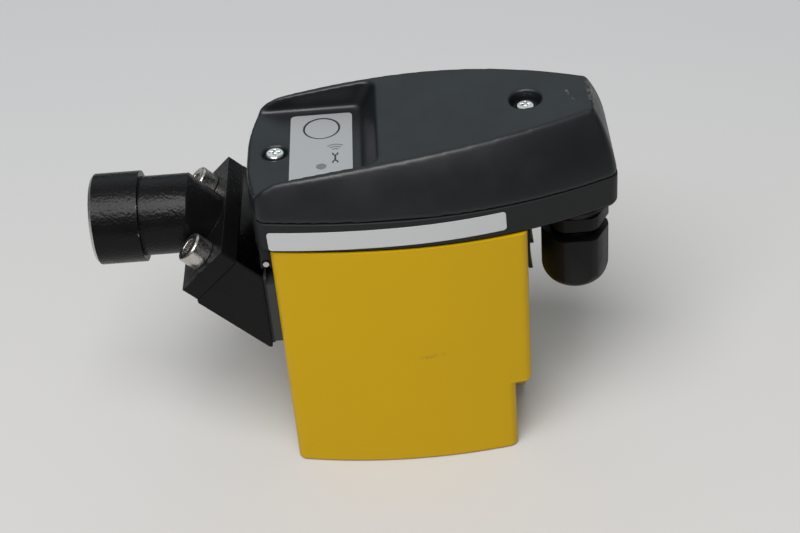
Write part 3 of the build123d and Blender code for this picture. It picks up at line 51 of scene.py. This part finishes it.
TONGUE_ROWS = ((68.0, 6.0, 0.0), (62.0, 5.7, 0.0), (58.5, 5.4, 0.25), (56.0, 5.0, 0.8))
TONGUE_INNER = 53.95
TONGUE_OUTER = 55.35
TONGUE_EDGE = 0.3
FLOOR_HALF = 3.0

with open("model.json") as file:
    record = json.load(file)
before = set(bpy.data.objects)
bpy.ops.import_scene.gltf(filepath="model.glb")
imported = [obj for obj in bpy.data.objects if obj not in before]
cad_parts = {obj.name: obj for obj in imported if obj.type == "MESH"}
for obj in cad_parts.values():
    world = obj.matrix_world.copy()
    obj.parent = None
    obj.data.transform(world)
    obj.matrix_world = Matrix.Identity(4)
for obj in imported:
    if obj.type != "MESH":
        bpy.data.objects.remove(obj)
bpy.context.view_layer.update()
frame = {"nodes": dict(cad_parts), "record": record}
nodes = frame["nodes"]


# ------------------------------------------------------------------ shader groups
def new_group(name, inputs, outputs):
    """An empty shader group with named float, vector or colour sockets."""
    group = bpy.data.node_groups.new(name, "ShaderNodeTree")
    for label, kind, value in inputs:
        socket = group.interface.new_socket(label, in_out="INPUT", socket_type=kind)
        if value is not None:
            socket.default_value = value
    for label, kind in outputs:
        group.interface.new_socket(label, in_out="OUTPUT", socket_type=kind)
    return group, group.nodes.new("NodeGroupInput"), group.nodes.new("NodeGroupOutput")


def add(tree, kind, **settings):
    """A node of that kind, with its plain settings and its socket values by name."""
    node = tree.nodes.new(kind)
    for name, value in settings.items():
        if hasattr(node, name):
            setattr(node, name, value)
        else:
            node.inputs[name].default_value = value
    return node


def ramp(tree, source, low, high, lifts=(0.0, 1.0)):
    """A smooth step of a value between two limits."""
    node = add(tree, "ShaderNodeMapRange", interpolation_type="SMOOTHSTEP")
    node.inputs["From Min"].default_value = low
    node.inputs["From Max"].default_value = high
    node.inputs["To Min"].default_value = lifts[0]
    node.inputs["To Max"].default_value = lifts[1]
    tree.links.new(source, node.inputs["Value"])
    return node.outputs["Result"]


def combine(tree, operation, a, b):
    """A math node between two sockets, or a socket and a number."""
    node = add(tree, "ShaderNodeMath", operation=operation)
    for socket, value in zip(node.inputs, (a, b)):
        if isinstance(value, (int, float)):
            socket.default_value = value
        else:
            tree.links.new(value, socket)
    return node.outputs[0]


def make_grain():
    """Fine surface grain and slow mottling, both from object coordinates."""
    group, enter, leave = new_group(
        "surface_grain",
        [("Vector", "NodeSocketVector", None), ("Grain Scale", "NodeSocketFloat", 2500.0),
         ("Mottle Scale", "NodeSocketFloat", 90.0), ("Softness", "NodeSocketFloat", 0.5)],
        [("Grain", "NodeSocketFloat"), ("Mottle", "NodeSocketFloat")],
    )
    fine = add(group, "ShaderNodeTexNoise", Detail=3.0)
    slow = add(group, "ShaderNodeTexNoise", Detail=4.0)
    for noise, scale in ((fine, "Grain Scale"), (slow, "Mottle Scale")):
        group.links.new(enter.outputs["Vector"], noise.inputs["Vector"])
        group.links.new(enter.outputs[scale], noise.inputs["Scale"])
    group.links.new(enter.outputs["Softness"], fine.inputs["Roughness"])
    group.links.new(fine.outputs["Fac"], leave.inputs["Grain"])
    group.links.new(slow.outputs["Fac"], leave.inputs["Mottle"])
    return group


def make_rub():
    """A rubbed patch: an ellipsoid mask broken up by noise."""
    group, enter, leave = new_group(
        "rubbed_patch",
        [("Vector", "NodeSocketVector", None), ("Centre", "NodeSocketVector", (0, 0, 0)),
         ("Reach", "NodeSocketVector", (0.01, 0.01, 0.01)), ("Turn", "NodeSocketVector", (0, 0, 0)),
         ("Breakup Scale", "NodeSocketFloat", 700.0), ("Strength", "NodeSocketFloat", 1.0)],
        [("Mask", "NodeSocketFloat")],
    )
    shift = add(group, "ShaderNodeVectorMath", operation="SUBTRACT")
    group.links.new(enter.outputs["Vector"], shift.inputs[0])
    group.links.new(enter.outputs["Centre"], shift.inputs[1])
    turn = add(group, "ShaderNodeVectorRotate", rotation_type="EULER_XYZ")
    group.links.new(shift.outputs[0], turn.inputs["Vector"])
    group.links.new(enter.outputs["Turn"], turn.inputs["Rotation"])
    divide = add(group, "ShaderNodeVectorMath", operation="DIVIDE")
    group.links.new(turn.outputs[0], divide.inputs[0])
    group.links.new(enter.outputs["Reach"], divide.inputs[1])
    length = add(group, "ShaderNodeVectorMath", operation="LENGTH")
    group.links.new(divide.outputs[0], length.inputs[0])
    inside = ramp(group, length.outputs["Value"], 0.45, 1.0, (1.0, 0.0))
    noise = add(group, "ShaderNodeTexNoise", Detail=5.0, Roughness=0.65)
    group.links.new(enter.outputs["Vector"], noise.inputs["Vector"])
    group.links.new(enter.outputs["Breakup Scale"], noise.inputs["Scale"])
    broken = ramp(group, noise.outputs["Fac"], 0.42, 0.62)
    mask = combine(group, "MULTIPLY", inside, broken)
    mask = combine(group, "MULTIPLY", mask, enter.outputs["Strength"])
    group.links.new(mask, leave.inputs["Mask"])
    return group


GRAIN = make_grain()
RUB = make_rub()


def finish(name, colour, roughness, grain=0.0, grain_scale=2500.0, mottle=0.08, mottle_scale=90.0,
           metallic=0.0, coat=0.0, specular=0.5, softness=0.5, spread=0.08, rubs=(), bump=0.0002):
    """A finish with grain in its relief, mottling in its colour and gloss, and rubbed patches."""
    material = bpy.data.materials.new(name)
    material.use_nodes = True
    tree = material.node_tree
    shader = tree.nodes["Principled BSDF"]
    shader.inputs["Metallic"].default_value = metallic
    shader.inputs["Coat Weight"].default_value = coat
    shader.inputs["Coat Roughness"].default_value = 0.12
    shader.inputs["Specular IOR Level"].default_value = specular
    where = add(tree, "ShaderNodeTexCoord").outputs["Object"]
    surface = add(tree, "ShaderNodeGroup", node_tree=GRAIN)
    surface.inputs["Grain Scale"].default_value = grain_scale
    surface.inputs["Mottle Scale"].default_value = mottle_scale
    surface.inputs["Softness"].default_value = softness
    tree.links.new(where, surface.inputs["Vector"])
    tone = add(tree, "ShaderNodeMix", data_type="RGBA")
    tone.inputs["A"].default_value = (*[c * (1 - mottle) for c in colour], 1)
    tone.inputs["B"].default_value = (*[min(c * (1 + mottle), 1) for c in colour], 1)
    tree.links.new(surface.outputs["Mottle"], tone.inputs["Factor"])
    shade = tone.outputs["Result"]
    gloss = ramp(tree, surface.outputs["Mottle"], 0.3, 0.7, (roughness - spread / 2, roughness + spread / 2))
    for centre, reach, turn, worn_colour, strength in rubs:
        patch = add(tree, "ShaderNodeGroup", node_tree=RUB)
        patch.inputs["Centre"].default_value = [c * MM for c in centre]
        patch.inputs["Reach"].default_value = [c * MM for c in reach]
        patch.inputs["Turn"].default_value = [radians(c) for c in turn]
        patch.inputs["Strength"].default_value = strength
        tree.links.new(where, patch.inputs["Vector"])
        worn = add(tree, "ShaderNodeMix", data_type="RGBA")
        worn.inputs["B"].default_value = (*worn_colour, 1)
        tree.links.new(patch.outputs["Mask"], worn.inputs["Factor"])
        tree.links.new(shade, worn.inputs["A"])
        shade = worn.outputs["Result"]
    tree.links.new(shade, shader.inputs["Base Color"])
    tree.links.new(gloss, shader.inputs["Roughness"])
    if grain:
        relief = add(tree, "ShaderNodeBump", Strength=grain, Distance=bump)
        tree.links.new(surface.outputs["Grain"], relief.inputs["Height"])
        tree.links.new(relief.outputs["Normal"], shader.inputs["Normal"])
    return material


def brushed(name, colour, roughness, scale=900.0, depth=0.12):
    """Bare metal with a fine grain in its gloss and relief."""
    material = bpy.data.materials.new(name)
    material.use_nodes = True
    tree = material.node_tree
    shader = tree.nodes["Principled BSDF"]
    shader.inputs["Metallic"].default_value = 1.0
    where = add(tree, "ShaderNodeTexCoord").outputs["Object"]
    surface = add(tree, "ShaderNodeGroup", node_tree=GRAIN)
    surface.inputs["Grain Scale"].default_value = scale
    surface.inputs["Mottle Scale"].default_value = scale / 4
    tree.links.new(where, surface.inputs["Vector"])
    tone = add(tree, "ShaderNodeMix", data_type="RGBA")
    tone.inputs["A"].default_value = (*[c * 0.8 for c in colour], 1)
    tone.inputs["B"].default_value = (*[min(c * 1.1, 1) for c in colour], 1)
    tree.links.new(surface.outputs["Mottle"], tone.inputs["Factor"])
    tree.links.new(tone.outputs["Result"], shader.inputs["Base Color"])
    gloss = ramp(tree, surface.outputs["Grain"], 0.3, 0.7, (roughness - 0.06, roughness + 0.1))
    tree.links.new(gloss, shader.inputs["Roughness"])
    relief = add(tree, "ShaderNodeBump", Strength=depth, Distance=0.0001)
    tree.links.new(surface.outputs["Grain"], relief.inputs["Height"])
    tree.links.new(relief.outputs["Normal"], shader.inputs["Normal"])
    return material


# ------------------------------------------------------------------ finishes of this drain
worn_grey = (0.20, 0.20, 0.19)
hood_grey = finish(
    "moulded_slate", (0.0034, 0.0052, 0.0062), 0.43, grain=0.16, grain_scale=3200, mottle=0.05,
    rubs=[((75.4, 1.5, 117.0), (1.9, 14.0, 3.0), (0, 0, 0), worn_grey, 0.5),
          ((77.5, 2.0, 114.5), (3.4, 12.0, 5.0), (0, 0, 0), worn_grey, 0.14),
          ((68.4, 1.2, 118), (0.5, 3.0, 3), (0, 0, -13), worn_grey, 0.7),
          ((69.8, -3.0, 118), (0.4, 2.2, 3), (0, 0, -18), worn_grey, 0.4)],
)
tray_grey = finish(
    "moulded_charcoal", (0.0125, 0.0135, 0.0148), 0.5, specular=0.2,
    grain=0.16, grain_scale=3000, mottle=0.06,
)
shell_yellow = finish(
    "yellow_gloss_paint", (0.570, 0.350, 0.0045), 0.40, grain=0.05, grain_scale=900, mottle=0.03,
    mottle_scale=35, specular=0.13, spread=0.06,
    rubs=[((21, -32, 44.8), (8.0, 3, 0.9), (0, 8, 0), (0.33, 0.22, 0.03), 0.6)],
)
black_paint = finish(
    "black_stoved_paint", (0.0045, 0.0045, 0.0048), 0.30, grain=0.5, grain_scale=1150, mottle=0.2,
    softness=0.3, specular=0.14, bump=0.0003,
    rubs=[((-66.6, -14.4, 88.5), (0.5, 0.9, 1.5), (0, 0, 0), (0.25, 0.24, 0.23), 0.9),
          ((-66.6, -10, 95.5), (0.5, 1.5, 0.9), (0, 0, 0), (0.25, 0.24, 0.23), 0.9)],
)
gland_black = finish(
    "gland_nylon", (0.0060, 0.0060, 0.0064), 0.42, specular=0.15, grain=0.10, grain_scale=2000, mottle=0.1,
)
rubber_black = finish("black_rubber", (0.012, 0.012, 0.012), 0.75, grain=0.2, grain_scale=1800, mottle=0.15)
container_black = finish("container_plastic", (0.022, 0.022, 0.023), 0.5, grain=0.15, mottle=0.08)
foil_silver = finish(
    "silver_foil", (0.315, 0.325, 0.33), 0.42, grain=0.06, grain_scale=4000, mottle=0.02, metallic=0.15,
)
label_grey = finish("label_film", (0.52, 0.53, 0.535), 0.38, mottle=0.02, mottle_scale=60)
print_black = finish("printed_black", (0.02, 0.02, 0.022), 0.45, mottle=0.05)
print_grey = finish("printed_grey", (0.13, 0.13, 0.135), 0.45, mottle=0.05)
ivory_plastic = finish("ivory_plastic", (0.66, 0.64, 0.57), 0.4, grain=0.08, mottle=0.04)
board_green = finish("board_lacquer", (0.016, 0.11, 0.04), 0.28, mottle=0.12, mottle_scale=300, coat=0.3)
component_black = finish("component_black", (0.016, 0.016, 0.016), 0.4, mottle=0.1)
terminal_green = finish("terminal_green", (0.03, 0.26, 0.09), 0.4, grain=0.08, mottle=0.05)
lamp_white = finish("lamp_white", (0.75, 0.75, 0.70), 0.3, mottle=0.03)
winding_copper = finish(
    "winding_copper", (0.42, 0.16, 0.06), 0.35, grain=0.5, grain_scale=1500, mottle=0.15, metallic=0.8,
)
stainless = brushed("turned_stainless", (0.58, 0.56, 0.53), 0.27, scale=1600)
bright_zinc = brushed("bright_zinc", (0.80, 0.80, 0.79), 0.16, scale=1200, depth=0.08)
core_steel = brushed("core_steel", (0.46, 0.46, 0.46), 0.32)
brass = brushed("turned_brass", (0.72, 0.48, 0.18), 0.27)
mouth_steel = brushed("machined_mouth", (0.55, 0.54, 0.53), 0.3, scale=2200)


def make_lamp_clear():
    """Clear acrylic of the light guides."""
    material = bpy.data.materials.new("clear_acrylic")
    material.use_nodes = True
    shader = material.node_tree.nodes["Principled BSDF"]
    shader.inputs["Base Color"].default_value = (0.75, 0.78, 0.78, 1)
    shader.inputs["Roughness"].default_value = 0.15
    shader.inputs["Transmission Weight"].default_value = 0.6
    shader.inputs["IOR"].default_value = 1.49
    return material


clear_acrylic = make_lamp_clear()

SLOT_FINISH = {
    "yellow_paint": shell_yellow, "black_coat": black_paint, "hood_plastic": hood_grey,
    "tray_plastic": tray_grey, "gland_plastic": gland_black, "seal_rubber": rubber_black,
    "container_plastic": container_black, "stainless": stainless, "bright_zinc": bright_zinc,
    "core_steel": core_steel, "brass": brass, "valve_plastic": ivory_plastic,
    "foil_silver": foil_silver, "lamp_clear": clear_acrylic, "lamp_chip": lamp_white,
    "board_green": board_green, "component_black": component_black,
    "terminal_green": terminal_green, "coil_copper": winding_copper, "label_paper": label_grey,
}
slot_of = {part["node"]: part["material_slot"] for part in frame["record"]["subparts"]}
body_of = {node: body for body, names in frame["record"]["behaviour"]["bodies"].items() for node in names}
for name, node in nodes.items():
    node.data.materials.clear()
    node.data.materials.append(SLOT_FINISH[slot_of[name]])


# ------------------------------------------------------------------ pieces
def set_piece(name, mesh, material, body):
    """Links a mesh as a piece that rides on a body."""
    piece = bpy.data.objects.new(name, mesh)
    bpy.context.scene.collection.objects.link(piece)
    mesh.materials.clear()
    mesh.materials.append(material)
    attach(piece, body)
    return piece


def closed_mesh(name, corners, faces):
    """A mesh from corners in metres, its faces turned outwards."""
    mesh = bpy.data.meshes.new(name)
    mesh.from_pydata(corners, [], faces)
    shape = bmesh.new()
    shape.from_mesh(mesh)
    bmesh.ops.recalc_face_normals(shape, faces=shape.faces)
    shape.to_mesh(mesh)
    shape.free()
    return mesh


def stand_in(node, ending, mesh):
    """A piece that stands for a node, with the finish of the node's slot and the node's body."""
    piece = set_piece(node + ending, mesh, SLOT_FINISH[slot_of[node]], body_of[node])
    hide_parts(node)
    return piece


def welded(node):
    """A closed copy of a node's mesh, with its flat faces whole."""
    shape = bmesh.new()
    shape.from_mesh(nodes[node].data)
    bmesh.ops.remove_doubles(shape, verts=shape.verts, dist=WELD_REACH)
    bmesh.ops.dissolve_limit(
        shape, angle_limit=radians(FLAT_ANGLE), verts=shape.verts, edges=shape.edges,
        use_dissolve_boundaries=False,
    )
    mesh = bpy.data.meshes.new(node + "_softened")
    shape.to_mesh(mesh)
    shape.free()
    return mesh


def softened(node, width, clamp=False):
    """A piece that stands for a node, with its sharp edges rounded as moulding or paint leaves them."""
    mesh = welded(node)
    mesh.shade_smooth()
    mesh.set_sharp_from_angle(angle=radians(CORNER_ANGLE))
    piece = stand_in(node, "_dressed", mesh)
    rounding = piece.modifiers.new("rounding", "BEVEL")
    rounding.limit_method = "ANGLE"
    rounding.angle_limit = radians(CORNER_ANGLE)
    rounding.width = width * MM
    rounding.segments = CORNER_SEGMENTS
    rounding.use_clamp_overlap = clamp
    rounding.harden_normals = True
    rounding.miter_outer = "MITER_ARC"
    return piece


def moulded(node, voxel, passes):
    """A piece that stands for a node, as a fine even mesh whose corners are worn soft by smoothing."""
    piece = stand_in(node, "_moulded", welded(node))
    even = piece.modifiers.new("even", "REMESH")
    even.mode = "VOXEL"
    even.voxel_size = voxel * MM
    even.use_smooth_shade = True
    soft = piece.modifiers.new("soft", "SMOOTH")
    soft.factor = 0.5
    soft.iterations = passes


moulded("hood_cover", HOOD_VOXEL, HOOD_PASSES)
adapter = softened("inlet_adapter", 0.25, clamp=True)
adapter.data.materials.append(mouth_steel)
mouth_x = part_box("inlet_adapter")[0][0]
for face in adapter.data.polygons:
    if face.normal.x < -0.5 and face.center.x < mouth_x + MOUTH_DEPTH * MM:
        face.material_index = 1
CORNER_WIDTH = {
    "hood_tray": 0.4, "inlet_block": 0.35, "gland_body": 0.3, "gland_nut": 0.35,
    "flange_screws": 0.3, "test_key": 0.12, "release_latch": 0.25, "cover_screws": 0.15,
}
for name, width in CORNER_WIDTH.items():
    softened(name, width)


def centre_of(node):
    """Middle of a node's box."""
    low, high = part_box(node)
    return (Vector(low) + Vector(high)) / 2


def band(route, width, z, closed=False):
    """Corners of a flat strip of even width along a route, as a thin raised print."""
    route = [Vector((x, y, 0)) for x, y in route]
    count = len(route)
    left, right = [], []
    for at, point in enumerate(route):
        before = route[at - 1] if at or closed else point
        after = route[(at + 1) % count] if at + 1 < count or closed else point
        across = (after - before).normalized().cross(Vector((0, 0, 1))) * width / 2
        left.append(point + across)
        right.append(point - across)
    corners = [(*(c.xy * MM), z * MM) for pair in zip(left, right) for c in pair]
    last = count if closed else count - 1
    faces = [(2 * k, 2 * k + 1, (2 * k + 3) % (2 * count), (2 * k + 2) % (2 * count)) for k in range(last)]
    return corners, faces


def arc(x, y, radius, first, last, steps):
    """Points round a centre, from one angle to another."""
    turns = [radians(first + (last - first) * k / steps) for k in range(steps + 1)]
    return [(x + radius * cos(t), y + radius * sin(t)) for t in turns]


def printed(name, strips, material):
    """A print of flat strips on the keypad, thickened a little so that it stays a closed solid."""
    shape = bmesh.new()
    for corners, faces in strips:
        verts = [shape.verts.new(c) for c in corners]
        for face in faces:
            shape.faces.new([verts[k] for k in face])
    bmesh.ops.recalc_face_normals(shape, faces=shape.faces)
    lifted = bmesh.ops.extrude_face_region(shape, geom=shape.faces[:])
    raised = [v for v in lifted["geom"] if isinstance(v, bmesh.types.BMVert)]
    bmesh.ops.translate(shape, verts=raised, vec=(0, 0, PRINT_THICK * MM))
    bmesh.ops.recalc_face_normals(shape, faces=shape.faces)
    mesh = bpy.data.meshes.new(name)
    shape.to_mesh(mesh)
    shape.free()
    return set_piece(name, mesh, material, "drain_unit")


# places are in mm, counted from the middle of the test key
RING_RADIUS = 5.70
RING_LINE = 0.45
RING_STEPS = 143
SIGN_X = 4.3
WAVE_Y = -13.4
WAVE_RADII = (1.5, 2.7, 3.9)
SPANNER_Y = -16.8
SPANNER_HALF = 1.5
SPANNER_SHANK = 0.6
JAW_SHIFT = 2.2
JAW_RADIUS = 0.75
SPOT_Y = -21.0
SPOT_RADIUS = 0.8
SPOT_LINE = 1.58
SPOT_STEPS = 35

foil_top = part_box("keypad_foil")[1][2] / MM
key = centre_of("test_key") / MM
key_ring = arc(key.x, key.y, RING_RADIUS, 0, 357.5, RING_STEPS)
printed("key_ring_print", [band(key_ring, RING_LINE, foil_top, closed=True)], print_black)
sign_x = key.x + SIGN_X
waves = [
    band(arc(sign_x, key.y + WAVE_Y, radius, 52, 128, 14), PRINT_LINE, foil_top) for radius in WAVE_RADII
]
printed("wave_sign_print", waves, print_grey)
spanner_y = key.y + SPANNER_Y
shank = [(sign_x, spanner_y - SPANNER_HALF), (sign_x, spanner_y + SPANNER_HALF)]
upper_jaw = arc(sign_x, spanner_y + JAW_SHIFT, JAW_RADIUS, 140, 400, 16)
lower_jaw = arc(sign_x, spanner_y - JAW_SHIFT, JAW_RADIUS, -40, 220, 16)
spanner = [
    band(shank, SPANNER_SHANK, foil_top),
    band(upper_jaw, PRINT_LINE, foil_top),
    band(lower_jaw, PRINT_LINE, foil_top),
]
printed("spanner_sign_print", spanner, print_black)
lamp_spot = arc(key.x, key.y + SPOT_Y, SPOT_RADIUS, 0, 350, SPOT_STEPS)
printed("lamp_spot_print", [band(lamp_spot, SPOT_LINE, foil_top, closed=True)], print_grey)


def ridge(name, axis, place, root, crest, pitch, turns, material):
    """A helical thread ridge of triangular section round an axis, from its place along the axis."""
    total = int(turns * THREAD_STEPS)
    along = Vector(axis)
    side = along.orthogonal().normalized()
    other = along.cross(side)
    corners, faces = [], []
    for k in range(total + 1):
        turn = 2 * pi * k / THREAD_STEPS
        fade = min(1, k / THREAD_RUN_OUT, (total - k) / THREAD_RUN_OUT)
        out = side * cos(turn) + other * sin(turn)
        rise = pitch * k / THREAD_STEPS
        section = ((root, -THREAD_FOOT), (root + (crest - root) * fade, 0), (root, THREAD_FOOT))
        for radius, shift in section:
            corners.append((Vector(place) + out * radius + along * (rise + shift * pitch)) * MM)
    for k in range(total):
        for a, b in ((0, 1), (1, 2), (2, 0)):
            faces.append((3 * k + a, 3 * k + b, 3 * k + 3 + b, 3 * k + 3 + a))
    faces += [(2, 1, 0), (3 * total, 3 * total + 1, 3 * total + 2)]
    return set_piece(name, closed_mesh(name, corners, faces), material, "drain_unit")


mouth = Vector((mouth_x / MM + MOUTH_LEAD, 0, INLET_Z))
ridge("inlet_thread", (1, 0, 0), mouth, 9.35, 8.95, 1.814, 7.2, black_paint)
outlet = centre_of("outlet_bush") / MM
outlet.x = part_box("outlet_bush")[1][0] / MM - OUTLET_LEAD
ridge("outlet_thread", (-1, 0, 0), outlet, 5.76, 5.45, 1.337, 7.0, brass)
gland = Vector((centre_of("gland_body").x / MM, 0, GLAND_THREAD_Z))
ridge("gland_thread", (0, 0, 1), gland, 7.35, 7.95, 1.0, 2.6, gland_black)


def latch_tongue():
    """The finger lever of the latch: a plate that narrows downwards and curls outwards."""
    corners = []
    for z, half, curl in TONGUE_ROWS:
        section = ((TONGUE_INNER, -half), (TONGUE_OUTER, -half), (TONGUE_OUTER, half), (TONGUE_INNER, half))
        for x, y in section:
            corners.append(Vector((x + curl, y, z)) * MM)
    last = 4 * len(TONGUE_ROWS) - 4
    faces = [(3, 2, 1, 0), (last, last + 1, last + 2, last + 3)]
    for first in range(0, last, 4):
        for a in range(4):
            b = (a + 1) % 4
            faces.append((first + a, first + b, first + 4 + b, first + 4 + a))
    mesh = closed_mesh("latch_tongue", corners, faces)
    piece = set_piece("latch_tongue", mesh, tray_grey, "latch")
    edge = piece.modifiers.new("edge", "BEVEL")
    edge.width = TONGUE_EDGE * MM
    edge.segments = CORNER_SEGMENTS
    edge.angle_limit = radians(CORNER_ANGLE)


latch_tongue()


# ------------------------------------------------------------------ studio
def soft_light(name, width, height, place, aim, power, colour=(1, 1, 1)):
    """A rectangular area light that looks at a point."""
    lamp = bpy.data.lights.new(name, "AREA")
    lamp.shape = "RECTANGLE"
    lamp.size = width
    lamp.size_y = height
    lamp.energy = power
    lamp.color = colour
    holder = bpy.data.objects.new(name, lamp)
    bpy.context.scene.collection.objects.link(holder)
    holder.location = place
    holder.rotation_euler = (Vector(aim) - Vector(place)).to_track_quat("-Z", "Y").to_euler()


def make_floor():
    """A pale sheet under the drain, with painted light: its colour is a little lighter and warmer towards
    the front and cooler towards the back.
    """
    mesh = bpy.data.meshes.new("pale_floor")
    corners = [(FLOOR_HALF * x, FLOOR_HALF * y, 0) for x, y in ((-1, -1), (1, -1), (1, 1), (-1, 1))]
    mesh.from_pydata(corners, [], [(0, 1, 2, 3)])
    floor = bpy.data.objects.new("pale_floor", mesh)
    bpy.context.scene.collection.objects.link(floor)
    material = bpy.data.materials.new("pale_sheet")
    material.use_nodes = True
    tree = material.node_tree
    shader = tree.nodes["Principled BSDF"]
    shader.inputs["Roughness"].default_value = 0.9
    shader.inputs["Specular IOR Level"].default_value = 0.1
    where = add(tree, "ShaderNodeTexCoord").outputs["Object"]
    split = add(tree, "ShaderNodeSeparateXYZ")
    tree.links.new(where, split.inputs[0])
    # painted light: the sheet's colour is graded from front to back, lighter and warmer at the front
    depth = ramp(tree, split.outputs["Y"], -0.12, 0.42)
    tone = add(tree, "ShaderNodeMix", data_type="RGBA")
    tone.inputs["A"].default_value = (0.550, 0.537, 0.524, 1)
    tone.inputs["B"].default_value = (0.535, 0.535, 0.545, 1)
    tree.links.new(depth, tone.inputs["Factor"])
    tree.links.new(tone.outputs["Result"], shader.inputs["Base Color"])
    mesh.materials.append(material)


make_floor()
soft_light("overhead_key", 1.0, 1.0, (-0.22, -0.66, 1.42), (0.0, 0.0, 0.05), 27.0)
soft_light("back_wall", 2.8, 1.5, (0.2, 1.6, 1.25), (0.0, 0.0, 0.08), 6.6, (0.80, 0.96, 1.0))
world = bpy.data.worlds.new("studio")
bpy.context.scene.world = world
world.use_nodes = True
sky = world.node_tree
sky.nodes["Background"].inputs["Color"].default_value = (0.97, 0.99, 1.0, 1)
direction = add(sky, "ShaderNodeSeparateXYZ")
sky.links.new(add(sky, "ShaderNodeTexCoord").outputs["Generated"], direction.inputs[0])
sky_level = ramp(sky, direction.outputs["Z"], 0.05, 0.85, (0.02, 0.36))
sky.links.new(sky_level, sky.nodes["Background"].inputs["Strength"])

# ------------------------------------------------------------------ camera
view = bpy.data.cameras.new("view")
view.lens = 76.77
view.sensor_width = 36.0
camera = bpy.data.objects.new("view", view)
bpy.context.scene.collection.objects.link(camera)
camera.location = (0.02316, -0.43933, 0.40189)
camera.rotation_euler = (radians(51.748), radians(4.006), radians(-1.818))
bpy.context.scene.camera = camera
bpy.context.scene.view_settings.view_transform = "Standard"
